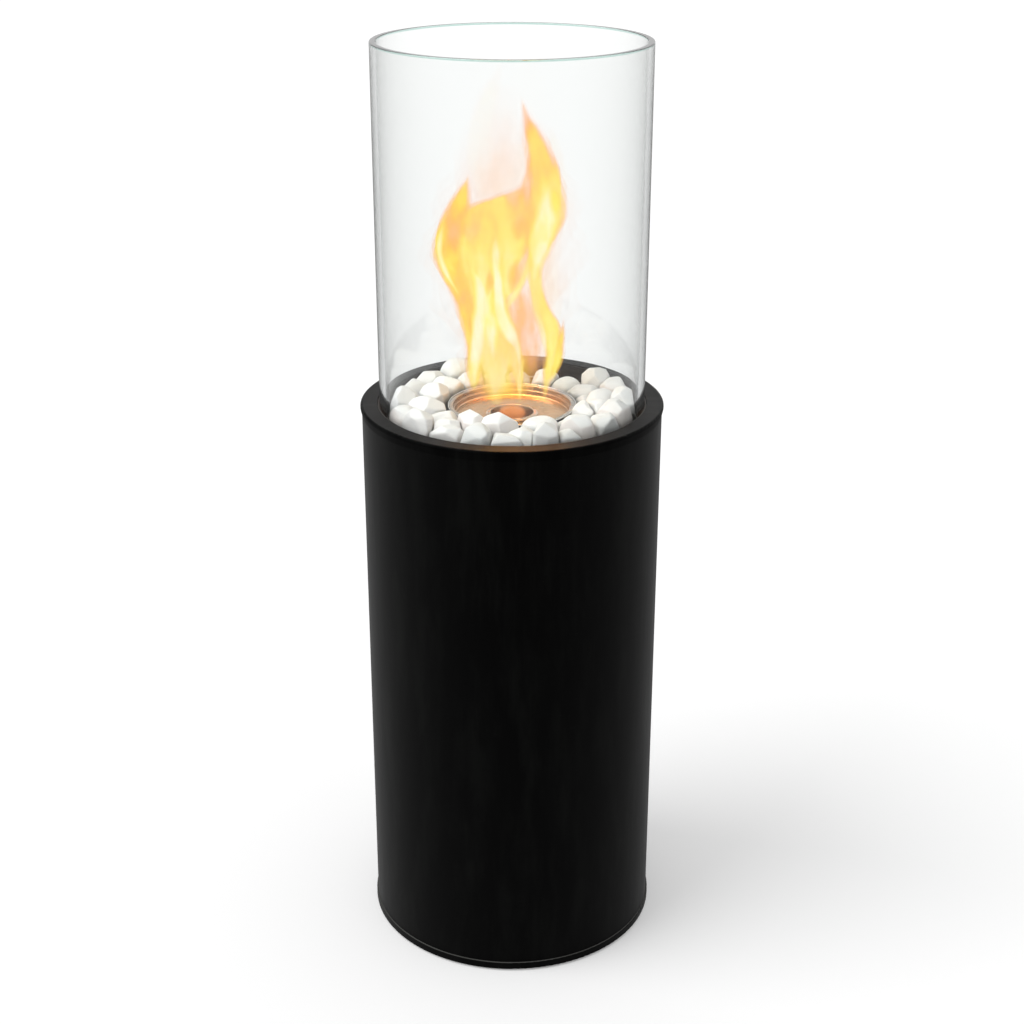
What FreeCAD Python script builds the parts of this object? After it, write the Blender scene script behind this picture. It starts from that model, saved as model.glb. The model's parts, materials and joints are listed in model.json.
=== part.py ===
import FreeCAD, Part
import math
import os
import random
import Sketcher

# Ventless fireplace: a painted steel column that carries a fire tray with loose stones,
# an open glass chimney and a lift-out fuel burner.
# Lengths are in millimetres. The origin is on the floor under the middle of the base, +Z is up.

# Driving sizes, one cell each in the sheet
SIZES = {
    # Pads between the base plate and the floor
    "pad_dia": 30,
    "pad_thick": 2,
    "pad_inset": 35,
    "pad_count": 4,
    # Round base plate
    "base_thick": 8,
    "base_lip": 1.5,
    "base_round": 0.8,
    # Countersunk screws and nuts that hold the base plate to the column's foot flange
    "base_screw_dia": 5,
    "base_head_dia": 10,
    "base_head_height": 2.5,
    "base_screw_reach": 1.5,
    "base_screw_count": 4,
    "nut_flats": 8,
    "nut_height": 4.7,
    "screw_clear": 0.15,
    # Rolled column with an in-turned flange at each end
    "column_wall": 1.5,
    "shell_height": 555,
    "foot_flange": 18,
    # Collar ring on top of the column
    "collar_thick": 10,
    "collar_lip": 1.5,
    "collar_round": 2.5,
    "collar_band": 1,
    "collar_ease": 0.5,
    # Pan-head screws from below into the collar
    "screw_land": 12.5,
    "collar_screw_dia": 4,
    "collar_head_dia": 8,
    "collar_head_height": 3.1,
    "collar_screw_bite": 5,
    "collar_hole_spare": 1,
    "collar_screw_count": 6,
    # Stepped ring that carries the tray
    "seat_sheet": 1.5,
    "seat_ledge": 14,
    "seat_clear": 0.5,
    # Fire tray
    "tray_sheet": 1,
    "tray_depth": 18,
    "tray_rim_drop": 1,
    "tray_clear": 0.4,
    "neck_height": 12.3,
    # Glass chimney and the gasket under it
    "glass_dia": 262,
    "glass_wall": 6,
    "glass_height": 363,
    "glass_gap": 0.6,
    "glass_ease": 1,
    "gasket_thick": 2,
    # Burner can that hangs by its flange on the tray's neck
    "burner_dia": 128,
    "burner_flange": 3.5,
    "burner_sheet": 0.8,
    "burner_clear": 0.5,
    "rim_height": 2.2,
    "rim_width": 1.2,
    "rim_round": 0.5,
    "cup_depth": 80,
    "cup_bend": 1.2,
    # Stepped dish in the can's mouth and the ring in its middle
    "dish_depth": 10.5,
    "dish_step": 1.5,
    "dish_step_drop": 6,
    "dish_clear": 0.4,
    "mouth_dia": 52,
    "mouth_flange": 4,
    "mouth_sheet": 1,
    "mouth_rise": 1.6,
    "mouth_drop": 12,
    # Fuel cup, wool and gauze inside the can
    "fuel_gap": 5.3,
    "fuel_height": 46,
    "wool_height": 40,
    "wool_clear": 0.3,
    "gauze_thick": 0.8,
    "gauze_hole_dia": 4,
    # Loose stones
    "stone_low": 12,
    "stone_tall": 35,
    "stone_wide": 40,
    "stone_gap": 0.8,
    "stone_clear": 3,
}

# Radii and levels worked out from the driving sizes, also cells of the sheet
RULES = {
    # Radii from the glass outwards
    "glass_r": "glass_dia / 2",
    "glass_bore_r": "glass_r - glass_wall",
    "tray_bore_r": "glass_r + glass_gap",
    "tray_r": "tray_bore_r + tray_sheet",
    "collar_bore_r": "tray_r + tray_clear",
    "leg_r": "collar_bore_r + seat_sheet",
    "neck_flange_r": "leg_r + seat_clear",
    "shell_bore_r": "leg_r + screw_land",
    "seat_flange_r": "shell_bore_r - seat_clear",
    "shell_r": "shell_bore_r + column_wall",
    "collar_r": "shell_r + collar_lip",
    "base_r": "shell_r + base_lip",
    "foot_flange_r": "shell_bore_r - foot_flange",
    "ledge_r": "collar_bore_r - seat_ledge",
    # Radii of the burner and the tray's neck around it
    "burner_r": "burner_dia / 2",
    "rim_bore_r": "burner_r - rim_width",
    "cup_r": "burner_r - burner_flange",
    "cup_bore_r": "cup_r - burner_sheet",
    "neck_bore_r": "cup_r + burner_clear",
    "neck_r": "neck_bore_r + tray_sheet",
    "dish_lip_r": "rim_bore_r - dish_clear",
    "dish_r": "cup_bore_r - dish_clear",
    "dish_bore_r": "dish_r - burner_sheet",
    "step_r": "dish_r - dish_step",
    "step_bore_r": "step_r - burner_sheet",
    "mouth_r": "mouth_dia / 2",
    "mouth_tube_r": "mouth_r - mouth_flange",
    "mouth_bore_r": "mouth_tube_r - mouth_sheet",
    "dish_hole_r": "mouth_tube_r + dish_clear",
    "fuel_r": "cup_bore_r - fuel_gap",
    "fuel_bore_r": "fuel_r - burner_sheet",
    "wool_r": "fuel_bore_r - wool_clear",
    # Levels of the column
    "base_bottom_z": "pad_thick",
    "base_top_z": "base_bottom_z + base_thick",
    "foot_flange_z": "base_top_z + column_wall",
    "shell_top_z": "base_top_z + shell_height",
    "neck_flange_z": "shell_top_z - column_wall",
    "seat_flange_z": "neck_flange_z - seat_sheet",
    "collar_top_z": "shell_top_z + collar_thick",
    "collar_edge_z": "collar_top_z - collar_round - collar_band",
    # Levels of the tray and the glass
    "tray_floor_z": "collar_top_z - tray_depth",
    "tray_bottom_z": "tray_floor_z - tray_sheet",
    "ledge_bottom_z": "tray_bottom_z - seat_sheet",
    "tray_rim_z": "collar_top_z - tray_rim_drop",
    "neck_top_z": "tray_floor_z + neck_height",
    "glass_foot_z": "tray_floor_z + gasket_thick",
    "glass_top_z": "glass_foot_z + glass_height",
    # Levels of the burner
    "cup_bottom_z": "neck_top_z - cup_depth",
    "cup_floor_z": "cup_bottom_z + burner_sheet",
    "cup_flange_z": "neck_top_z + burner_sheet",
    "rim_top_z": "neck_top_z + rim_height",
    "dish_lip_z": "cup_flange_z + burner_sheet",
    "step_z": "rim_top_z - dish_step_drop",
    "step_under_z": "step_z - burner_sheet",
    "dish_floor_z": "rim_top_z - dish_depth",
    "dish_under_z": "dish_floor_z - burner_sheet",
    "mouth_flange_z": "dish_floor_z + mouth_sheet",
    "mouth_top_z": "dish_floor_z + mouth_rise",
    "mouth_bottom_z": "dish_under_z - mouth_drop",
    "fuel_floor_z": "cup_floor_z + burner_sheet",
    "fuel_top_z": "cup_floor_z + fuel_height",
    "wool_top_z": "fuel_floor_z + wool_height",
    "gauze_top_z": "wool_top_z + gauze_thick",
    # Pads, seen in section on one side of the pad's own axis
    "pad_axis": "base_r - pad_inset",
    "pad_edge": "pad_axis + pad_dia / 2",
    # Base screws and nuts, seen in section on one side of the screw's own axis
    "base_axis": "shell_bore_r - foot_flange / 2",
    "base_shank": "base_axis + base_screw_dia / 2",
    "base_head": "base_axis + base_head_dia / 2",
    "base_hole": "base_shank + screw_clear",
    "base_sink": "base_head + screw_clear",
    "base_head_z": "base_bottom_z + base_head_height",
    "nut_top_z": "foot_flange_z + nut_height",
    "base_tip_z": "nut_top_z + base_screw_reach",
    "nut_corner_r": "nut_flats / sqrt(3)",
    # Collar screws, seen in section on one side of the screw's own axis
    "collar_axis": "(leg_r + shell_bore_r) / 2",
    "collar_shank": "collar_axis + collar_screw_dia / 2",
    "collar_head": "collar_axis + collar_head_dia / 2",
    "collar_hole": "collar_shank + screw_clear",
    "collar_head_z": "seat_flange_z - collar_head_height",
    "collar_tip_z": "shell_top_z + collar_screw_bite",
    "collar_hole_z": "collar_tip_z + collar_hole_spare",
    # Ring that the stones fill between burner and glass
    "bed_inner_r": "burner_r + stone_clear",
    "bed_outer_r": "glass_bore_r - stone_clear",
}

# Rings of holes in the gauze, each ring with six more holes than the one inside it
GAUZE_RINGS = 4
GAUZE_STEP = 6
for ring in range(1, GAUZE_RINGS + 1):
    RULES[f"gauze_axis_{ring}"] = f"{ring} * (wool_r - gauze_hole_dia) / {GAUZE_RINGS}"
    RULES[f"gauze_hole_{ring}"] = f"gauze_axis_{ring} + gauze_hole_dia / 2"
    RULES[f"gauze_count_{ring}"] = f"{GAUZE_STEP} * {ring}"

# Stones as laid: bearing in degrees, place across the bed from burner to glass, share of the tallest
STONES = [
    (-93, 0.88, 0.52),
    (-84, 0.62, 0.52),
    (-73, 0.80, 0.91),
    (-63, 0.90, 0.52),
    (-54, 0.74, 0.91),
    (-41, 0.88, 0.74),
    (-25, 0.78, 0.96),
    (-3, 0.80, 0.96),
    (20, 0.84, 0.80),
    (35, 0.72, 0.87),
    (122, 0.80, 0.91),
    (140, 0.86, 0.60),
    (158, 0.84, 0.60),
    (178, 0.76, 0.78),
    (-158, 0.84, 0.65),
    (-140, 0.80, 0.91),
    (-121, 0.88, 0.61),
    (-107, 0.84, 0.78),
    (-120, 0.17, 0.78),
    (-99, 0.20, 0.87),
    (-69, 0.12, 0.65),
    (-42, 0.20, 0.35),
    (-24, 0.12, 0.65),
    (-17, 0.36, 0.61),
    (3, 0.38, 0.65),
    (12, 0.06, 0.26),
    (27, 0.24, 0.39),
    (47, 0.28, 0.35),
    (66, 0.26, 0.48),
    (85, 0.15, 0.39),
    (103, 0.12, 0.39),
    (121, 0.20, 0.52),
    (142, 0.24, 0.60),
    (165, 0.17, 0.74),
    (-163, 0.36, 0.74),
    (-143, 0.33, 0.44),
    (-130, 0.52, 0.57),
]

# Chipped faces of a stone, from the top down: slope of their normals above level, and how many go round
FACET_SLOPES_DEG = (76, 50, 14, -36)
FACET_COUNTS = (1, 4, 6, 5)
FACET_WANDER = 0.25
SLOPE_WANDER = 9
# Level of a stone's widest part, as a share of its height
STONE_WAIST = 0.42
# How far a chipped face lies from the stone's middle, as a share of the room there
FULLNESS = (0.84, 0.98)
STONE_SEED = 7
# Straight sides that stand for the round edge of the bed and of a stone that has room to spare
BED_SIDES = 48
STONE_SIDES = 11

ON_AXIS = "axis"
ON_FLOOR = "floor"
UP = FreeCAD.Vector(0, 0, 1)
FULL_TURN = math.degrees(math.tau)
NUT_SIDES = 6
MM3_IN_CM3 = 1000
# Numbers that a sketch uses for its own axes and for the ends of a line
UPRIGHT_AXIS, LEVEL_AXIS = range(-2, 0)
LINE_START, LINE_END = range(1, 3)
SQUARE = [FreeCAD.Vector(x, y, 0) for x, y in ((-1, -1), (1, -1), (1, 1), (-1, 1))]

DOC = FreeCAD.newDocument("VentlessFireplace")
SHEET = DOC.addObject("Spreadsheet::Sheet", "sheet")


def fill_sheet():
    """Write every size and rule into a cell of its own, named by its alias."""
    cells = dict(SIZES)
    cells.update({alias: "=" + rule for alias, rule in RULES.items()})
    for row, (alias, content) in enumerate(cells.items(), 1):
        SHEET.set(f"A{row}", str(content))
        SHEET.setAlias(f"A{row}", alias)
    DOC.recompute()


def size(alias):
    """Value of a cell, with the turning axis and the floor at zero."""
    if alias in (ON_AXIS, ON_FLOOR):
        return 0.0
    return float(SHEET.get(alias))


def new_body(label):
    """Empty body that may hold several separate solids."""
    body = DOC.addObject("PartDesign::Body", label)
    body.Label = label
    body.AllowCompound = True
    return body


def origin_part(body, role):
    """Plane or axis of the body's own origin."""
    return next(part for part in body.Origin.OriginFeatures if part.Role == role)


def section(body, name, corners):
    """Closed sketch in the upright XZ plane through corners given as (across, up) cells."""
    sketch = body.newObject("Sketcher::SketchObject", name)
    sketch.AttachmentSupport = [(origin_part(body, "XZ_Plane"), "")]
    sketch.MapMode = "FlatFace"
    points = [FreeCAD.Vector(size(across), size(up), 0) for across, up in corners]
    count = len(points)
    for index in range(count):
        sketch.addGeometry(Part.LineSegment(points[index], points[(index + 1) % count]))
    for index in range(count):
        following = (index + 1) % count
        sketch.addConstraint(Sketcher.Constraint("Coincident", index, LINE_END, following, LINE_START))
    for index, (across, up) in enumerate(corners):
        for kind, axis, alias in (("DistanceX", UPRIGHT_AXIS, across), ("DistanceY", LEVEL_AXIS, up)):
            if alias in (ON_AXIS, ON_FLOOR):
                sketch.addConstraint(Sketcher.Constraint("PointOnObject", index, LINE_START, axis))
                continue
            place = sketch.addConstraint(
                Sketcher.Constraint(kind, LEVEL_AXIS, LINE_START, index, LINE_START, size(alias))
            )
            sketch.setExpression(f"Constraints[{place}]", "sheet." + alias)
    return sketch


def turned(label, corners):
    """Body turned about the object's own axis."""
    body = new_body(label)
    sketch = section(body, label + "_section", corners)
    solid = body.newObject("PartDesign::Revolution", label + "_turned")
    solid.Profile = sketch
    solid.ReferenceAxis = (sketch, ["V_Axis"])
    solid.Angle = FULL_TURN
    DOC.recompute()
    return body


def eased(body, name, rims, radius):
    """Round the circular edges that lie at the given (radius, level) cells."""
    base = body.Tip
    places = [(size(across), size(up)) for across, up in rims]
    names = []
    for number, edge in enumerate(base.Shape.Edges, 1):
        if not isinstance(edge.Curve, Part.Circle):
            continue
        for across, up in places:
            if math.isclose(edge.Curve.Radius, across) and math.isclose(edge.Curve.Center.z, up):
                names.append(f"Edge{number}")
    fillet = body.newObject("PartDesign::Fillet", name)
    fillet.Base = (base, names)
    fillet.setExpression("Radius", "sheet." + radius)
    body.Tip = fillet
    DOC.recompute()


def ringed(body, features, count):
    """Repeat features evenly round the object's axis."""
    pattern = body.newObject("PartDesign::PolarPattern", features[-1].Name + "_ring")
    pattern.Originals = features
    pattern.Axis = (origin_part(body, "Z_Axis"), [""])
    pattern.Angle = FULL_TURN
    pattern.setExpression("Occurrences", "sheet." + count)
    body.Tip = pattern
    DOC.recompute()


def spun(body, kind, name, corners):
    """Feature turned about its own upright axis, which is the edge between its first two corners."""
    sketch = section(body, name + "_section", corners)
    feature = body.newObject(kind, name)
    feature.Profile = sketch
    feature.ReferenceAxis = (sketch, ["Edge1"])
    feature.Angle = FULL_TURN
    DOC.recompute()
    return feature


def drilled(body, name, axis, edge, bottom, top, count):
    """Ring of straight holes between two levels."""
    corners = [(axis, bottom), (axis, top), (edge, top), (edge, bottom)]
    hole = spun(body, "PartDesign::Groove", name, corners)
    ringed(body, [hole], count)


def make_foot_pads():
    """Pads under the base plate, half a turn step away from the base screws."""
    body = new_body("foot_pads")
    corners = [
        ("pad_axis", ON_FLOOR),
        ("pad_axis", "pad_thick"),
        ("pad_edge", "pad_thick"),
        ("pad_edge", ON_FLOOR),
    ]
    pad = spun(body, "PartDesign::Revolution", "pad", corners)
    ringed(body, [pad], "pad_count")
    half_step = FULL_TURN / size("pad_count") / 2
    body.Placement.Rotation = FreeCAD.Rotation(UP, half_step)
    return body


def make_base_disc():
    """Base plate with eased edges and countersunk holes."""
    body = turned("base_disc", [
        (ON_AXIS, "base_bottom_z"),
        ("base_r", "base_bottom_z"),
        ("base_r", "base_top_z"),
        (ON_AXIS, "base_top_z"),
    ])
    eased(body, "base_eased", [("base_r", "base_bottom_z"), ("base_r", "base_top_z")], "base_round")
    hole = spun(body, "PartDesign::Groove", "base_hole_cut", [
        ("base_axis", "base_bottom_z"),
        ("base_axis", "base_top_z"),
        ("base_hole", "base_top_z"),
        ("base_hole", "base_head_z"),
        ("base_sink", "base_bottom_z"),
    ])
    ringed(body, [hole], "base_screw_count")
    return body


def make_base_screws():
    """Countersunk screws, heads flush with the underside of the base plate."""
    body = new_body("base_screws")
    screw = spun(body, "PartDesign::Revolution", "base_screw", [
        ("base_axis", "base_bottom_z"),
        ("base_axis", "base_tip_z"),
        ("base_shank", "base_tip_z"),
        ("base_shank", "base_head_z"),
        ("base_head", "base_bottom_z"),
    ])
    ringed(body, [screw], "base_screw_count")
    return body


def make_base_nuts():
    """Hexagon nuts on the column's foot flange."""
    body = new_body("base_nuts")
    nut = body.newObject("PartDesign::AdditivePrism", "nut_blank")
    nut.Polygon = NUT_SIDES
    nut.setExpression("Circumradius", "sheet.nut_corner_r")
    nut.setExpression("Height", "sheet.nut_height")
    nut.setExpression("Placement.Base.x", "sheet.base_axis")
    nut.setExpression("Placement.Base.z", "sheet.foot_flange_z")
    DOC.recompute()
    bore = spun(body, "PartDesign::Groove", "nut_bore", [
        ("base_axis", "foot_flange_z"),
        ("base_axis", "nut_top_z"),
        ("base_hole", "nut_top_z"),
        ("base_hole", "foot_flange_z"),
    ])
    ringed(body, [nut, bore], "base_screw_count")
    return body


def make_column_shell():
    """Rolled column with holed flanges turned in at its foot and its neck."""
    body = turned("column_shell", [
        ("foot_flange_r", "base_top_z"),
        ("shell_r", "base_top_z"),
        ("shell_r", "shell_top_z"),
        ("neck_flange_r", "shell_top_z"),
        ("neck_flange_r", "neck_flange_z"),
        ("shell_bore_r", "neck_flange_z"),
        ("shell_bore_r", "foot_flange_z"),
        ("foot_flange_r", "foot_flange_z"),
    ])
    drilled(
        body, "foot_hole", "base_axis", "base_hole", "base_top_z", "foot_flange_z", "base_screw_count"
    )
    drilled(
        body, "neck_hole", "collar_axis", "collar_hole", "neck_flange_z", "shell_top_z",
        "collar_screw_count",
    )
    return body


def make_collar_ring():
    """Collar with a rounded lip that tapers back to the column, and blind holes from below."""
    body = turned("collar_ring", [
        ("collar_bore_r", "shell_top_z"),
        ("shell_r", "shell_top_z"),
        ("collar_r", "collar_edge_z"),
        ("collar_r", "collar_top_z"),
        ("collar_bore_r", "collar_top_z"),
    ])
    eased(body, "collar_rounded", [("collar_r", "collar_top_z")], "collar_round")
    eased(body, "collar_eased", [("collar_bore_r", "collar_top_z")], "collar_ease")
    drilled(
        body, "collar_blind", "collar_axis", "collar_hole", "shell_top_z", "collar_hole_z",
        "collar_screw_count",
    )
    return body


def make_tray_seat_ring():
    """Stepped ring that hangs under the neck flange and holds the tray on its inner ledge."""
    body = turned("tray_seat_ring", [
        ("ledge_r", "ledge_bottom_z"),
        ("leg_r", "ledge_bottom_z"),
        ("leg_r", "seat_flange_z"),
        ("seat_flange_r", "seat_flange_z"),
        ("seat_flange_r", "neck_flange_z"),
        ("collar_bore_r", "neck_flange_z"),
        ("collar_bore_r", "tray_bottom_z"),
        ("ledge_r", "tray_bottom_z"),
    ])
    drilled(
        body, "seat_hole", "collar_axis", "collar_hole", "seat_flange_z", "neck_flange_z",
        "collar_screw_count",
    )
    return body


def make_collar_screws():
    """Pan-head screws from below through seat ring and neck flange into the collar."""
    body = new_body("collar_screws")
    screw = spun(body, "PartDesign::Revolution", "collar_screw", [
        ("collar_axis", "collar_head_z"),
        ("collar_axis", "collar_tip_z"),
        ("collar_shank", "collar_tip_z"),
        ("collar_shank", "seat_flange_z"),
        ("collar_head", "seat_flange_z"),
        ("collar_head", "collar_head_z"),
    ])
    ringed(body, [screw], "collar_screw_count")
    return body


def make_fire_tray():
    """Round channel with an outer wall inside the collar and a neck for the burner."""
    return turned("fire_tray", [
        ("neck_bore_r", "tray_bottom_z"),
        ("tray_r", "tray_bottom_z"),
        ("tray_r", "tray_rim_z"),
        ("tray_bore_r", "tray_rim_z"),
        ("tray_bore_r", "tray_floor_z"),
        ("neck_r", "tray_floor_z"),
        ("neck_r", "neck_top_z"),
        ("neck_bore_r", "neck_top_z"),
    ])


def make_glass_gasket():
    """Flat ring between the tray's floor and the foot of the glass."""
    return turned("glass_gasket", [
        ("glass_bore_r", "tray_floor_z"),
        ("glass_r", "tray_floor_z"),
        ("glass_r", "glass_foot_z"),
        ("glass_bore_r", "glass_foot_z"),
    ])


def make_glass_chimney():
    """Open glass tube with polished edges."""
    body = turned("glass_chimney", [
        ("glass_bore_r", "glass_foot_z"),
        ("glass_r", "glass_foot_z"),
        ("glass_r", "glass_top_z"),
        ("glass_bore_r", "glass_top_z"),
    ])
    levels = ("glass_foot_z", "glass_top_z")
    rims = [(across, up) for across in ("glass_bore_r", "glass_r") for up in levels]
    eased(body, "glass_polished", rims, "glass_ease")
    return body


def make_burner_cup():
    """Outer can with a flange that lies on the tray's neck and an upturned rim."""
    body = turned("burner_cup", [
        (ON_AXIS, "cup_bottom_z"),
        ("cup_r", "cup_bottom_z"),
        ("cup_r", "neck_top_z"),
        ("burner_r", "neck_top_z"),
        ("burner_r", "rim_top_z"),
        ("rim_bore_r", "rim_top_z"),
        ("rim_bore_r", "cup_flange_z"),
        ("cup_bore_r", "cup_flange_z"),
        ("cup_bore_r", "cup_floor_z"),
        (ON_AXIS, "cup_floor_z"),
    ])
    eased(body, "cup_bent", [("cup_r", "cup_bottom_z")], "cup_bend")
    eased(body, "rim_rounded", [("burner_r", "rim_top_z"), ("rim_bore_r", "rim_top_z")], "rim_round")
    return body


def make_burner_dish():
    """Stepped dish whose lip lies on the can's flange, with a hole for the mouth ring."""
    return turned("burner_dish", [
        ("dish_hole_r", "dish_under_z"),
        ("step_r", "dish_under_z"),
        ("step_r", "step_under_z"),
        ("dish_r", "step_under_z"),
        ("dish_r", "cup_flange_z"),
        ("dish_lip_r", "cup_flange_z"),
        ("dish_lip_r", "dish_lip_z"),
        ("dish_bore_r", "dish_lip_z"),
        ("dish_bore_r", "step_z"),
        ("step_bore_r", "step_z"),
        ("step_bore_r", "dish_floor_z"),
        ("dish_hole_r", "dish_floor_z"),
    ])


def make_mouth_ring():
    """Short tube through the dish with a flange on the dish's floor."""
    return turned("mouth_ring", [
        ("mouth_bore_r", "mouth_bottom_z"),
        ("mouth_tube_r", "mouth_bottom_z"),
        ("mouth_tube_r", "dish_floor_z"),
        ("mouth_r", "dish_floor_z"),
        ("mouth_r", "mouth_flange_z"),
        ("mouth_tube_r", "mouth_flange_z"),
        ("mouth_tube_r", "mouth_top_z"),
        ("mouth_bore_r", "mouth_top_z"),
    ])


def make_fuel_cup():
    """Inner cup that stands on the can's floor."""
    return turned("fuel_cup", [
        (ON_AXIS, "cup_floor_z"),
        ("fuel_r", "cup_floor_z"),
        ("fuel_r", "fuel_top_z"),
        ("fuel_bore_r", "fuel_top_z"),
        ("fuel_bore_r", "fuel_floor_z"),
        (ON_AXIS, "fuel_floor_z"),
    ])


def make_wick_wool():
    """Ceramic wool that fills the fuel cup."""
    return turned("wick_wool", [
        (ON_AXIS, "fuel_floor_z"),
        ("wool_r", "fuel_floor_z"),
        ("wool_r", "wool_top_z"),
        (ON_AXIS, "wool_top_z"),
    ])


def make_wool_gauze():
    """Perforated disc on the wool."""
    body = turned("wool_gauze", [
        (ON_AXIS, "wool_top_z"),
        ("wool_r", "wool_top_z"),
        ("wool_r", "gauze_top_z"),
        (ON_AXIS, "gauze_top_z"),
    ])
    for ring in range(1, GAUZE_RINGS + 1):
        drilled(
            body, f"gauze_cut_{ring}", f"gauze_axis_{ring}", f"gauze_hole_{ring}",
            "wool_top_z", "gauze_top_z", f"gauze_count_{ring}",
        )
    return body


def bearing(degrees):
    """Level unit vector at a bearing counted from +X towards +Y."""
    return FreeCAD.Vector(math.cos(math.radians(degrees)), math.sin(math.radians(degrees)), 0)


def trimmed(polygon, normal, limit):
    """Part of a convex polygon whose points reach no further than the limit along the normal."""
    kept = []
    for here, after in zip(polygon, polygon[1:] + polygon[:1]):
        inside = limit - here.dot(normal)
        inside_after = limit - after.dot(normal)
        if inside >= 0:
            kept.append(here)
        if inside * inside_after < 0:
            kept.append(here + (after - here) * (inside / (inside - inside_after)))
    return kept


def stone_middles():
    """Where each stone's middle lies on the tray's floor."""
    width = size("bed_outer_r") - size("bed_inner_r")
    middles = []
    for turn, across, _ in STONES:
        middles.append(bearing(turn) * (size("bed_inner_r") + across * width))
    return middles


def stone_room(index, middles):
    """Convex patch of the bed that is nearer to this stone than to any other, less the gap."""
    reach = size("bed_outer_r")
    room = [bearing(FULL_TURN * step / BED_SIDES) * reach for step in range(BED_SIDES)]
    middle = middles[index]
    outward = FreeCAD.Vector(middle).normalize()
    room = trimmed(room, -outward, -size("bed_inner_r"))
    for side in range(STONE_SIDES):
        level = bearing(FULL_TURN * side / STONE_SIDES + STONES[index][0])
        room = trimmed(room, level, level.dot(middle) + size("stone_wide") / 2)
    for other, neighbour in enumerate(middles):
        if other == index:
            continue
        towards = (neighbour - middle).normalize()
        halfway = (neighbour + middle).dot(towards) / 2
        room = trimmed(room, towards, halfway - size("stone_gap") / 2)
    return room


def enclosed(planes, extent):
    """Convex solid inside planes that are given by outward normal and distance from the origin."""
    faces = []
    for normal, reach in planes:
        turn = FreeCAD.Rotation(UP, normal)
        face = [normal * reach + turn.multVec(corner) * extent for corner in SQUARE]
        for other, other_reach in planes:
            if other is not normal:
                face = trimmed(face, other, other_reach)
        if len(face) > 2:
            faces.append(Part.Face(Part.makePolygon(face + face[:1])))
    return Part.Solid(Part.Shell(faces))


def make_stone(index, middles):
    """Tumbled stone with chipped faces and a flat underside on the tray's floor."""
    chance = random.Random(STONE_SEED + index)
    height = size("stone_low") + STONES[index][2] * (size("stone_tall") - size("stone_low"))
    foot = height * STONE_WAIST
    crown = height - foot
    room = stone_room(index, middles)
    middle = Part.Face(Part.makePolygon(room + room[:1])).CenterOfMass
    planes = [(-UP, foot), (UP, crown)]
    for corner, after in zip(room, room[1:] + room[:1]):
        wall = (after - corner).cross(UP).normalize()
        planes.append((wall, wall.dot(corner - middle)))
    for slope, count in zip(FACET_SLOPES_DEG, FACET_COUNTS):
        start = chance.uniform(0, FULL_TURN)
        for facet in range(count):
            turn = start + FULL_TURN * (facet + chance.uniform(-FACET_WANDER, FACET_WANDER)) / count
            lean = math.radians(slope + chance.uniform(-SLOPE_WANDER, SLOPE_WANDER))
            level = bearing(turn)
            across = math.cos(lean) * max((corner - middle).dot(level) for corner in room)
            upward = math.sin(lean) * crown
            reach = math.hypot(across, upward) * chance.uniform(*FULLNESS)
            planes.append((level * math.cos(lean) + UP * math.sin(lean), reach))
    label = f"stone_{index + 1:02d}"
    stone = DOC.addObject("Part::Feature", label)
    stone.Label = label
    stone.Shape = enclosed(planes, size("bed_outer_r"))
    stone.Placement.Base = middle + UP * (size("tray_floor_z") + foot)
    return stone


def make_all():
    """Build every piece of the fireplace."""
    pieces = [
        make_foot_pads(),
        make_base_disc(),
        make_base_screws(),
        make_base_nuts(),
        make_column_shell(),
        make_collar_ring(),
        make_tray_seat_ring(),
        make_collar_screws(),
        make_fire_tray(),
        make_glass_gasket(),
        make_glass_chimney(),
        make_burner_cup(),
        make_burner_dish(),
        make_mouth_ring(),
        make_fuel_cup(),
        make_wick_wool(),
        make_wool_gauze(),
    ]
    middles = stone_middles()
    pieces.extend(make_stone(index, middles) for index in range(len(STONES)))
    DOC.recompute()
    return pieces


def check(pieces):
    """Stop if any object failed to build or any piece is empty or broken."""
    for item in DOC.Objects:
        if "Invalid" in item.State or "Error" in item.State:
            raise RuntimeError(f"{item.Label} did not build: {item.State}")
    for piece in pieces:
        if piece.Shape.isNull() or not piece.Shape.isValid() or not piece.Shape.Solids:
            raise RuntimeError(f"{piece.Label} has no sound solid")


fill_sheet()
PIECES = make_all()
check(PIECES)
os.makedirs("parts", exist_ok=True)
for piece in PIECES:
    piece.Shape.exportStep(f"parts/{piece.Label}.step")
    print(f"{piece.Label}: {len(piece.Shape.Solids)} solids, {piece.Shape.Volume / MM3_IN_CM3:.2f} cm3")
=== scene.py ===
"""Looks of a ventless fireplace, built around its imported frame.

A matt black column carries a tray of white stones, a lift-out burner with its flame and a glass chimney.
All lengths are in metres in the frame's own axes: +Z up, -Y towards the viewer.
"""

from __future__ import annotations

import json
import logging
import math
import random
from dataclasses import dataclass, field
from enum import Enum
from functools import cache
from typing import Callable, Iterable, Mapping, Sequence

import bmesh
import bpy
import numpy as np
from mathutils import Matrix, Vector

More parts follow.
